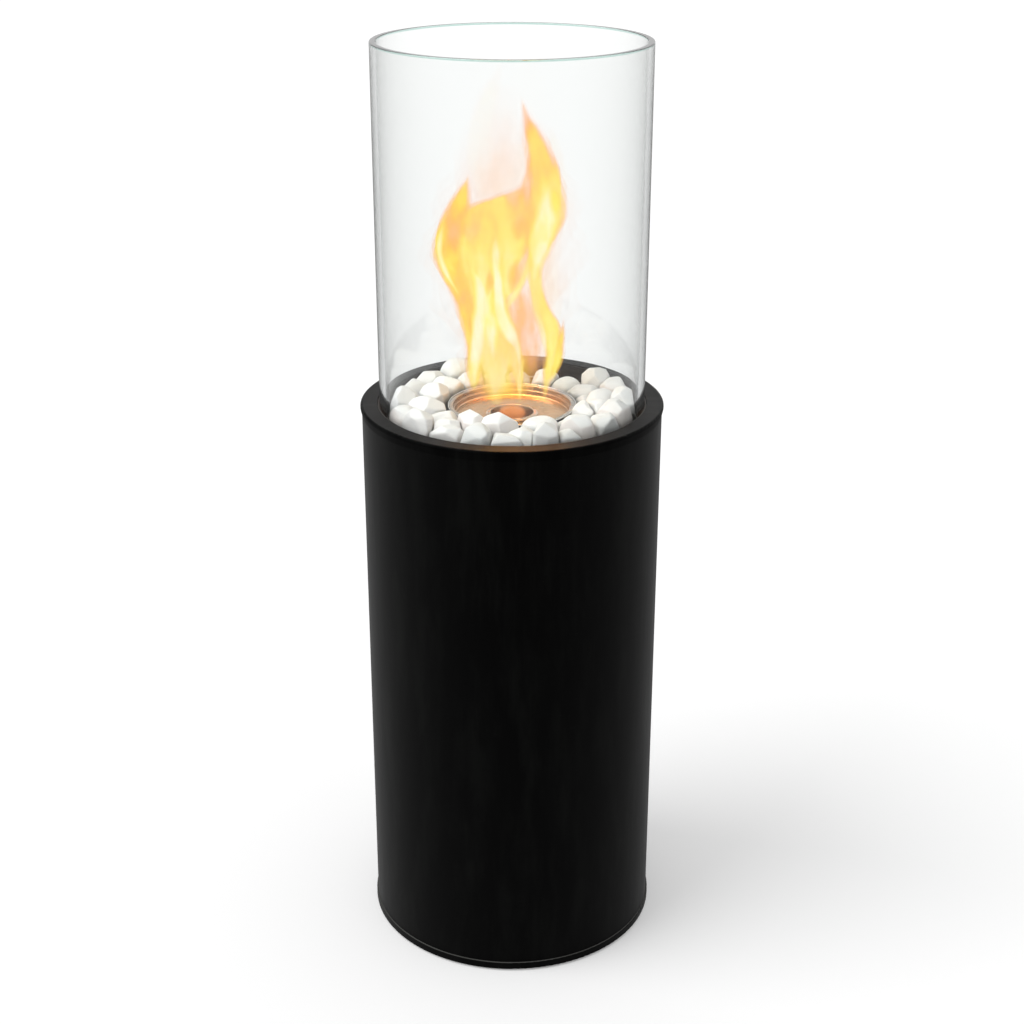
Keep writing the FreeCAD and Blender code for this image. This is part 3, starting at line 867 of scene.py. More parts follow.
@dataclass
class Assembly:
    """Group of pieces on one CAD body."""

    nodes: Mapping[str, bpy.types.Object]
    body: str = ""

    def dress(self, finish: Finish, *names: str) -> None:
        """Put a finish on CAD nodes that keep their own shape."""
        for name in names:
            mesh = self.nodes[name].data
            mesh.materials.clear()
            mesh.materials.append(finish.material())
            LOG.info("%s wears %s", name, finish.name)

    def build(self) -> None:
        """Make and dress the group's pieces."""
        raise NotImplementedError


@cache
def ring_recipe() -> Recipe:
    """Tree that sets copies of an item evenly round the upright axis."""
    recipe = Recipe("ring_of_items", {
        "Item": "NodeSocketObject",
        "Count": "NodeSocketInt",
        "Radius": "NodeSocketFloat",
        "Level": "NodeSocketFloat",
        "Start": "NodeSocketFloat",
        "Finish": "NodeSocketMaterial",
    })
    given = recipe.given
    circle = recipe.node(
        "GeometryNodeMeshCircle", None, {"Vertices": given.output("Count"), "Radius": given.output("Radius")}
    )
    item = recipe.node("GeometryNodeObjectInfo", None, {"Object": given.output("Item")}).output("Geometry")
    index = recipe.node("GeometryNodeInputIndex")
    spin = recipe.upright(index * math.tau / given.output("Count"))
    copies = recipe.node(
        "GeometryNodeInstanceOnPoints", None, {"Points": circle, "Instance": item, "Rotation": spin}
    )
    raised = recipe.upright(given.output("Level"))
    start = recipe.upright(given.output("Start"))
    moved = recipe.node(
        "GeometryNodeTransform", None, {"Geometry": copies, "Translation": raised, "Rotation": start}
    )
    recipe.finish(moved)
    return recipe


def ring_of(name: str, item: bpy.types.Mesh, values: Mapping[str, object]) -> bpy.types.Mesh:
    """Mesh with copies of an item all round.

    Args:
        name: Name of the copied item.
        item: Mesh of one item.
        values: Values of the ring tree's other inputs.

    Returns:
        The ring's mesh.
    """
    model = placed(name + "_model", item)
    start = placed(name + "_start", bpy.data.meshes.new(name + "_start"))
    mesh = ring_recipe().cook(start, {"Item": model, **values})
    bpy.data.objects.remove(model)
    return mesh


@dataclass
class Column(Assembly):
    """Painted column with base plate, collar, seat ring and their fasteners."""

    body: str = "column"
    base_screw_circle: float = 138 * MM
    base_screw_count: int = 4
    base_under: float = 2 * MM
    foot_flange: float = 11.5 * MM
    collar_screw_circle: float = 140.75 * MM
    collar_screw_count: int = 6
    seat_under: float = 562 * MM
    collar_lacquer: float = 574.4 * MM
    base_top: float = 10 * MM
    crease: float = 32.0

    def build(self) -> None:
        """Dress the sheet metal and make the fasteners."""
        self.dress(PowderCoat(), "column_shell")
        # The base's coat gets a painted highlight, a paler band under its top edge.
        self.dress(PowderCoat("coat_base", painted_highlight_level=self.base_top), "base_disc")
        collar_coat = PowderCoat("coat_collar", sheen=0.05, lacquer=0.16, lacquer_level=self.collar_lacquer)
        self.dress(collar_coat, "collar_ring")
        self.dress(ZincPlate(), "tray_seat_ring")
        self.dress(PadRubber(), "foot_pads")
        base = (self.base_screw_circle, self.base_screw_count)
        self.fasten("base_screws", self.sunk_screw(), *base, self.base_under)
        self.fasten("base_nuts", self.hex_nut(), *base, self.foot_flange)
        collar = (self.collar_screw_circle, self.collar_screw_count)
        self.fasten("collar_screws", self.pan_screw(), *collar, self.seat_under)

    def fasten(self, node: str, item: bpy.types.Mesh, radius: float, count: int, level: float) -> None:
        """Set a ring of one fastener in place of its CAD node.

        Args:
            node: CAD node that the ring replaces.
            item: Mesh of one fastener, with its seat at height zero.
            radius: Radius of the fastener circle.
            count: Fasteners in the ring.
            level: Height of the fasteners' seat.
        """
        mesh = ring_of(node, item, {
            "Count": count, "Radius": radius, "Level": level, "Start": 0.0, "Finish": ZincPlate().material(),
        })
        smooth(mesh, self.crease)
        settle(placed(node + "_detailed", mesh), self.body, [node])

    @staticmethod
    def threaded(radius: float, low: float, high: float, pitch: float) -> list[Ring]:
        """Rings of a shank with thread ridges from a low to a high level."""
        turns = int((high - low) / pitch)
        rings = []
        for number in range(turns):
            foot = low + number * pitch
            rings += [Ring(radius - 0.3 * MM, foot + 0.1 * pitch), Ring(radius, foot + 0.5 * pitch)]
        return rings + [Ring(radius - 0.5 * MM, high)]

    def sunk_screw(self) -> bpy.types.Mesh:
        """Countersunk screw with a hexagon socket, head face down at height zero."""
        socket = 1.5 * MM
        rings = [
            Ring(0.0, 1.8 * MM), Ring(socket, 1.8 * MM, Outline.HEX), Ring(socket, 0.1 * MM, Outline.HEX),
            Ring(socket + 0.15 * MM, 0.0, Outline.HEX), Ring(4.8 * MM, 0.0), Ring(5 * MM, 0.12 * MM),
            Ring(2.5 * MM, 2.5 * MM),
        ]
        rings += self.threaded(2.5 * MM, 2.9 * MM, 15.6 * MM, 0.8 * MM)
        return turned("sunk_screw", rings + [Ring(0.0, 15.7 * MM)], 48)

    def pan_screw(self) -> bpy.types.Mesh:
        """Pan-head screw with a cross recess, head hanging under height zero."""
        drive = 1.9 * MM
        head = 4 * MM
        rings = [
            Ring(0.0, -1.2 * MM), Ring(0.7 * drive, -1.3 * MM, Outline.CROSS),
            Ring(drive, -3.0 * MM, Outline.CROSS), Ring(0.55 * head, -3.08 * MM),
            Ring(0.8 * head, -2.75 * MM), Ring(0.95 * head, -2.0 * MM), Ring(head, -1.1 * MM),
            Ring(head, -0.15 * MM), Ring(0.96 * head, 0.0), Ring(2 * MM, 0.0),
        ]
        rings += self.threaded(2 * MM, 0.4 * MM, 7.9 * MM, 0.7 * MM)
        return turned("pan_screw", rings + [Ring(0.0, 8 * MM)], 72)

    @staticmethod
    def hex_nut() -> bpy.types.Mesh:
        """Hexagon nut with chamfered corners and bore, standing on height zero."""
        half, tall, bore = 4 * MM, 4.7 * MM, 2.65 * MM
        rings = [
            Ring(bore + 0.4 * MM, 0.0), Ring(0.96 * half, 0.0), Ring(half, 0.5 * MM, Outline.HEX),
            Ring(half, tall - 0.5 * MM, Outline.HEX), Ring(0.96 * half, tall), Ring(bore + 0.4 * MM, tall),
            Ring(bore, tall - 0.4 * MM), Ring(bore, 0.4 * MM),
        ]
        return turned("hex_nut", rings, 72)


@dataclass
class FireTray(Assembly):
    """Enamelled tray and the braided ring that the glass stands on."""

    body: str = "tray"
    braid_radius: float = 128 * MM
    braid_rows: tuple[float, ...] = (-2.1 * MM, 0.0, 2.1 * MM)
    braid_level: float = 558 * MM
    braid_count: int = 150
    strand: tuple[float, float, float] = (1.05 * MM, 3.6 * MM, 0.92 * MM)
    strand_lean: float = 0.42

    def build(self) -> None:
        """Dress the tray and braid the gasket."""
        self.dress(HeatEnamel(), "fire_tray")
        rows = []
        for number, offset in enumerate(self.braid_rows):
            lean = self.strand_lean * (1 if number % 2 else -1)
            row = ring_of("strand", self.strand_mesh(lean), {
                "Count": self.braid_count, "Radius": self.braid_radius + offset, "Level": self.braid_level,
                "Start": number * math.pi / self.braid_count, "Finish": FibreBraid().material(),
            })
            rows.append(placed(f"strand_row_{number}", row))
        settle(joined("glass_gasket_braid", rows), self.body, ["glass_gasket"])

    def strand_mesh(self, lean: float) -> bpy.types.Mesh:
        """One lap of a strand, long along the ring and leaning across it."""
        work = bmesh.new()
        bmesh.ops.create_icosphere(work, subdivisions=2, radius=1.0)
        shape = Matrix.Rotation(lean, 4, "Z") @ Matrix.Diagonal((*self.strand, 1.0))
        bmesh.ops.transform(work, matrix=shape, verts=work.verts)
        return written("strand", work)


def joined(name: str, parts: Sequence[bpy.types.Object]) -> bpy.types.Object:
    """One object from several, which are removed."""
    work = bmesh.new()
    for part in parts:
        work.from_mesh(part.data)
    mesh = written(name, work)
    for material in parts[0].data.materials:
        mesh.materials.append(material)
    smooth(mesh)
    for part in parts:
        bpy.data.objects.remove(part)
    return placed(name, mesh)


class Wear(Enum):
    """How far a stone has been tumbled: blur passes and depth of its dents in metres."""

    CHIPPED = (1, 0.4 * MM)
    WORN = (7, 0.6 * MM)
    PEBBLE = (45, 0.4 * MM)


@dataclass
class StoneBed(Assembly):
    """Loose white stones that lie on the tray round the burner."""

    body: str = "tray"
    voxel: float = 1.15 * MM
    seed: int = 11
    pebbles: frozenset[int] = frozenset({11, 15, 21, 25, 28})
    worn: frozenset[int] = frozenset({4, 5, 9, 13, 22, 26, 30, 33})
    pebble_refill: float = 0.7
    chip_refill: float = 0.2

    def build(self) -> None:
        """Weather every CAD stone into a tumbled one."""
        recipe = self.weather_recipe()
        chance = random.Random(self.seed)
        finish = WhiteStone()
        for node in sorted(name for name in self.nodes if name.startswith("stone_")):
            number = int(node.rsplit("_", 1)[1])
            wear = self.wear_of(number)
            start = merged_copy(node + "_start", self.nodes[node])
            lumps = start.modifiers.new("voxels", "REMESH")
            lumps.mode = "VOXEL"
            lumps.voxel_size = self.voxel
            passes, dent = wear.value
            mesh = recipe.cook(start, {
                "Passes": passes, "Dent": dent, "Shift": chance.uniform(0.0, 50.0),
                "Finish": finish.material(),
            })
            share = self.pebble_refill if wear is Wear.PEBBLE else self.chip_refill
            self.refill(mesh, *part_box(node), share)
            mark(mesh, finish.tone, np.full(len(mesh.vertices), chance.random()))
            # Upward lean of each point, which the stone finish uses to paint shade on the sides.
            normals = np.empty(len(mesh.vertices) * 3, dtype=np.float32)
            mesh.vertices.foreach_get("normal", normals)
            mark(mesh, finish.lean, normals[2::3])
            settle(placed(node + "_tumbled", mesh), self.body, [node])

    def wear_of(self, number: int) -> Wear:
        """How far the stone of that number has been tumbled."""
        if number in self.pebbles:
            return Wear.PEBBLE
        return Wear.WORN if number in self.worn else Wear.CHIPPED

    @staticmethod
    def weather_recipe() -> Recipe:
        """Tree that rounds a chipped block and dents it."""
        recipe = Recipe("weathered_stone", {
            "Passes": "NodeSocketInt",
            "Dent": "NodeSocketFloat",
            "Shift": "NodeSocketFloat",
            "Finish": "NodeSocketMaterial",
        })
        given = recipe.given
        spot = recipe.node("GeometryNodeInputPosition")
        blurred = recipe.node(
            "GeometryNodeBlurAttribute",
            {"data_type": "FLOAT_VECTOR"},
            {"Value": spot, "Iterations": given.output("Passes")},
        )
        rounded = recipe.node("GeometryNodeSetPosition", None, {"Geometry": given, "Position": blurred})
        lumps = recipe.node(
            "ShaderNodeTexNoise",
            {"noise_dimensions": "4D"},
            {"Vector": spot, "W": given.output("Shift"), "Scale": 70.0, "Detail": 3.0, "Roughness": 0.55},
        )
        depth = (lumps - 0.55) * 2.0 * given.output("Dent")
        outward = recipe.node("GeometryNodeInputNormal")
        offset = recipe.node("ShaderNodeVectorMath", {"operation": "SCALE"}, {0: outward, "Scale": depth})
        dented = recipe.node("GeometryNodeSetPosition", None, {"Geometry": rounded, "Offset": offset})
        recipe.finish(dented)
        return recipe

    @staticmethod
    def refill(mesh: bpy.types.Mesh, low: Vector, high: Vector, share: float) -> None:
        """Stretch a rounded stone part of the way back to its block's box, with its foot on the floor.

        Args:
            mesh: The rounded stone.
            low: Lowest corner of the block.
            high: Highest corner of the block.
            share: How much of the lost size comes back.
        """
        points = np.empty(len(mesh.vertices) * 3)
        mesh.vertices.foreach_get("co", points)
        points = points.reshape(-1, 3)
        was_low, was_high = points.min(0), points.max(0)
        now_low = was_low + (np.array(low) - was_low) * share
        now_high = was_high + (np.array(high) - was_high) * share
        now_low[2] = low[2]
        points = now_low + (points - was_low) * (now_high - now_low) / (was_high - was_low)
        mesh.vertices.foreach_set("co", points.ravel())
        mesh.update()


@dataclass
class GlassChimney(Assembly):
    """Open glass tube that stands in the tray."""

    body: str = "glass"

    def build(self) -> None:
        """Dress the glass."""
        self.dress(ClearGlass(), "glass_chimney")


# Sections of the spun pieces as (radius, height) in millimetres, in order round the sheet
CUP_SECTION = (
    (0.0, 489.3), (58.6, 489.3), (59.7, 489.6), (60.3, 490.3), (60.5, 491.3), (60.5, 568.6), (60.7, 569.1),
    (61.2, 569.3), (63.3, 569.3), (63.7, 569.42), (63.95, 569.75), (64.0, 570.2), (64.0, 570.75),
    (63.9, 571.15), (63.65, 571.42), (63.35, 571.5), (63.05, 571.4), (62.86, 571.15), (62.8, 570.8),
    (62.8, 570.1), (60.2, 570.1), (59.85, 569.95), (59.7, 569.6), (59.7, 491.6), (59.4, 490.6),
    (58.4, 490.1), (0.0, 490.1),
)
DISH_SECTION = (
    (62.4, 570.1), (62.45, 570.5), (62.3, 570.8), (61.9, 570.95), (59.3, 570.95), (58.8, 570.8),
    (58.55, 570.45), (58.5, 570.0), (58.5, 566.6), (58.4, 566.35), (58.15, 566.3), (57.8, 566.42),
    (57.4, 566.35), (57.12, 566.1), (57.0, 565.7), (57.0, 562.4), (56.8, 561.75), (56.4, 561.25),
    (55.8, 561.0), (54.6, 561.0), (54.2, 561.12), (53.8, 561.0), (22.9, 561.0), (22.4, 560.9),
    (22.4, 560.2), (56.2, 560.2), (57.1, 560.6), (57.6, 561.3), (57.8, 562.2), (57.8, 564.6), (59.1, 564.9),
    (59.3, 565.4), (59.3, 569.7), (59.5, 570.1),
)
MOUTH_SECTION = (
    (22.0, 548.2), (22.0, 561.0), (25.5, 561.0), (25.9, 561.15), (26.0, 561.5), (25.85, 561.85),
    (25.4, 562.0), (23.8, 562.0), (23.4, 562.15), (23.1, 562.5), (22.7, 562.9), (22.2, 563.1),
    (21.65, 563.05), (21.2, 562.75), (21.0, 562.3), (21.0, 548.2),
)


@dataclass
class Burner(Assembly):
    """Lift-out burner, spun from sheet with rolled rims, and its wool."""

    body: str = "burner"
    spun_sides: int = 176
    crease: float = 44.0
    wool_radius: float = 53 * MM
    wool_floor: float = 490.9 * MM
    wool_top: float = 530.6 * MM
    tuft_density: float = 36000.0
    tuft_seed: int = 4

    def build(self) -> None:
        """Dress the steel and make the wool."""
        self.dress(HeatSteel(), "fuel_cup", "wool_gauze")
        rims = HeatSteel(
            "steel_polished_rims", rough=0.08, dirt=0.1,
            bronze=(0.66, 0.54, 0.44), straw=(0.64, 0.57, 0.5), plain=(0.66, 0.65, 0.63),
        )
        self.spin("burner_cup", CUP_SECTION, rims)
        self.spin("burner_dish", DISH_SECTION, HeatSteel())
        self.spin("mouth_ring", MOUTH_SECTION, rims)
        start = placed("wool_start", self.wool_block())
        model = placed("tuft_model", self.tuft_mesh())
        mesh = self.wool_recipe().cook(start, {
            "Tuft": model, "Density": self.tuft_density, "Seed": self.tuft_seed,
            "Finish": CeramicWool().material(),
        })
        bpy.data.objects.remove(model)
        wool = placed("wick_wool_matted", mesh)
        settle(wool, self.body, ["wick_wool"])

    def spin(self, node: str, section: Sequence[tuple[float, float]], finish: Finish) -> None:
        """Spin a section in place of its CAD node.

        Args:
            node: CAD node that the spun piece replaces.
            section: Points as (radius, height) in millimetres.
            finish: Finish of the piece.
        """
        rings = [Ring(radius * MM, height * MM) for radius, height in section]
        mesh = turned(node, rings, self.spun_sides)
        mesh.materials.append(finish.material())
        smooth(mesh, self.crease)
        settle(placed(node + "_spun", mesh), self.body, [node])

    def wool_block(self) -> bpy.types.Mesh:
        """Wool pressed into the fuel cup, a little uneven on its sides and top."""
        chance = random.Random(self.tuft_seed)
        tall = self.wool_top - self.wool_floor
        rings = [Ring(0.0, self.wool_floor), Ring(self.wool_radius, self.wool_floor)]
        for share in (0.2, 0.4, 0.6, 0.8, 0.95):
            rings.append(Ring(self.wool_radius - chance.uniform(0, 1.2) * MM, self.wool_floor + share * tall))
        for share in (0.93, 0.75, 0.5, 0.25):
            rings.append(Ring(self.wool_radius * share, self.wool_top - chance.uniform(0.6, 2.2) * MM))
        return turned("wool_block", rings + [Ring(0.0, self.wool_top - 1.4 * MM)], 64)

    @staticmethod
    def tuft_mesh() -> bpy.types.Mesh:
        """Short bent fibre that lies on the wool."""
        work = bmesh.new()
        bmesh.ops.create_cone(
            work, cap_ends=True, segments=5, radius1=0.12 * MM, radius2=0.06 * MM, depth=5 * MM,
            matrix=Matrix.Rotation(math.radians(86), 4, "Y"),
        )
        return written("tuft", work)

    @staticmethod
    def wool_recipe() -> Recipe:
        """Tree that lays loose fibres all over a block."""
        recipe = Recipe("matted_wool", {
            "Tuft": "NodeSocketObject",
            "Density": "NodeSocketFloat",
            "Seed": "NodeSocketInt",
            "Finish": "NodeSocketMaterial",
        })
        given = recipe.given
        spots = recipe.node(
            "GeometryNodeDistributePointsOnFaces",
            {"distribute_method": "RANDOM"},
            {"Mesh": given, "Density": given.output("Density"), "Seed": given.output("Seed")},
        )
        tuft = recipe.node("GeometryNodeObjectInfo", None, {"Object": given.output("Tuft")})
        turn = recipe.node(
            "FunctionNodeRandomValue", {"data_type": "FLOAT"}, {"Max": math.tau, "Seed": given.output("Seed")}
        )
        aligned = recipe.node(
            "FunctionNodeRotateRotation",
            {"rotation_space": "LOCAL"},
            {0: spots.output("Rotation"), 1: recipe.upright(turn)},
        )
        fibres = recipe.node(
            "GeometryNodeInstanceOnPoints", None,
            {"Points": spots, "Instance": tuft.output("Geometry"), "Rotation": aligned},
        )
        recipe.finish(recipe.node("GeometryNodeJoinGeometry", None, {0: [fibres, given]}))
        return recipe


@dataclass(frozen=True)
class Tongue:
    """One tongue of flame: a bent, tapered body of nested shells.

    Fields:
        spine: Points from foot to tip as (across, deep, up, half width) in millimetres.
        depth: Half depth as a share of the half width.
        shells: Nested shells from the outside in.
        gap: Distance between shells in millimetres.
        heat: Heat of the outermost and the innermost shell.
        veil: Cover of the outermost and the innermost shell.
        cooling: Heat lost from foot to tip.
    """

    spine: tuple[tuple[float, float, float, float], ...]
    depth: float = 0.6
    shells: int = 6
    gap: float = 1.3
    heat: tuple[float, float] = (0.1, 0.95)
    veil: tuple[float, float] = (0.07, 0.5)
    cooling: float = 0.2


@dataclass(frozen=True)
class Shell:
    """One closed shell of a tongue, with the heat and the veil of its points."""

    points: np.ndarray
    faces: list[tuple[int, ...]]
    heat: np.ndarray
    veil: np.ndarray


@dataclass
class Flame(Assembly):
    """Flame over the burner, all tongues in one piece of glowing gas.

    Fields:
        rings, sides: Points along and round each shell.
        fade_foot, fade_tip: Shares of a tongue's length over which its cover comes and goes.
        least_foot, least_tip: Shares of the cover that are left at the very foot and tip.
        thinnest: Least half width in millimetres.
        samples: Points read along each spine.
    """

    body: str = "burner"
    rings: int = 40
    sides: int = 18
    fade_foot: float = 0.16
    fade_tip: float = 0.3
    least_foot: float = 0.12
    least_tip: float = 0.25
    thinnest: float = 0.15
    samples: int = 160
    tongues: tuple[Tongue, ...] = field(default_factory=lambda: FLAME_TONGUES)

    def build(self) -> None:
        """Make every tongue's shells and settle them as one piece."""
        shells: list[Shell] = []
        start = 0
        for tongue in self.tongues:
            for number in range(tongue.shells):
                made = self.shell(tongue, number, start)
                if made is not None:
                    shells.append(made)
                    start += len(made.points)
        gas = FlameGas()
        mesh = bpy.data.meshes.new("flame")
        points = np.concatenate([shell.points for shell in shells]) * MM
        mesh.from_pydata(points, [], [face for shell in shells for face in shell.faces])
        mark(mesh, gas.heat, np.concatenate([shell.heat for shell in shells]))
        mark(mesh, gas.veil, np.concatenate([shell.veil for shell in shells]))
        smooth(mesh)
        mesh.materials.append(gas.material())
        settle(placed("flame", mesh), self.body, [])

    def shell(self, tongue: Tongue, shell: int, start: int) -> Shell | None:
        """One closed shell of a tongue.

        Args:
            tongue: The tongue.
            shell: Number of the shell, from the outside in.
            start: Number of the shell's first point in the whole flame.

        Returns:
            The shell, or nothing where the tongue is too thin for it.
        """
        share = shell / max(tongue.shells - 1, 1)
        along = np.linspace(0.0, 1.0, self.samples)
        line = smooth_line(np.array(tongue.spine), along)
        half = line[:, 3] - shell * tongue.gap
        kept = np.flatnonzero(half > self.thinnest)
        if len(kept) < 4:
            return None
        picks = np.linspace(kept[0], kept[-1], self.rings).astype(int)
        line, half, along = line[picks], np.maximum(half[picks], self.thinnest), along[picks]
        turns = np.arange(self.sides) * math.tau / self.sides
        rims = np.empty((self.rings, self.sides, 3))
        # Two slow waves make the edge lick
        lick = 0.05 * line[:, 2] + 0.5 * shell
        half = half * (1.0 + 0.07 * np.sin(2.3 * lick) + 0.05 * np.sin(5.1 * lick + 1.0))
        rims[:, :, 0] = line[:, None, 0] + half[:, None] * np.cos(turns)
        rims[:, :, 1] = line[:, None, 1] + half[:, None] * np.sin(turns) * tongue.depth
        rims[:, :, 2] = line[:, None, 2]
        low, high = tongue.heat
        warm = low + (high - low) * share**0.6 - tongue.cooling * along**2
        thin, thick = tongue.veil
        cover = (thin + (thick - thin) * share) * np.clip(along / self.fade_foot, self.least_foot, 1.0)
        cover *= np.clip((1.0 - along) / self.fade_tip, self.least_tip, 1.0)
        ends = np.array([line[0, :3], line[-1, :3]])
        faces = []
        sides, rings = self.sides, self.rings
        for ring in range(rings - 1):
            for side in range(sides):
                after = (side + 1) % sides
                here, above = start + ring * sides, start + (ring + 1) * sides
                faces.append((here + side, here + after, above + after, above + side))
        foot, tip = start + rings * sides, start + rings * sides + 1
        last = start + (rings - 1) * sides
        for side in range(sides):
            after = (side + 1) % sides
            faces.append((foot, start + after, start + side))
            faces.append((tip, last + side, last + after))
        spread = np.append(np.repeat(warm, sides), (warm[0], warm[-1]))
        hidden = np.append(np.repeat(cover, sides), (cover[0], cover[-1]))
        return Shell(np.concatenate((rims.reshape(-1, 3), ends)), faces, spread, hidden)


def smooth_line(knots: np.ndarray, along: np.ndarray) -> np.ndarray:
    """Smooth curve through knots, read at shares of its length.

    Args:
        knots: Points of any dimension, in order.
        along: Shares from 0 to 1.

    Returns:
        One point for each share.
    """
    ends = np.concatenate((2 * knots[:1] - knots[1:2], knots, 2 * knots[-1:] - knots[-2:-1]))
    spans = len(knots) - 1
    place = np.clip(along * spans, 0.0, spans - 1e-9)
    cell = place.astype(int)
    t = (place - cell)[:, None]
    before, here, after, beyond = (ends[cell + step] for step in range(4))
    bend = 2 * before - 5 * here + 4 * after - beyond
    twist = 3 * (here - after) + beyond - before
    return here + 0.5 * t * (after - before + t * (bend + t * twist))


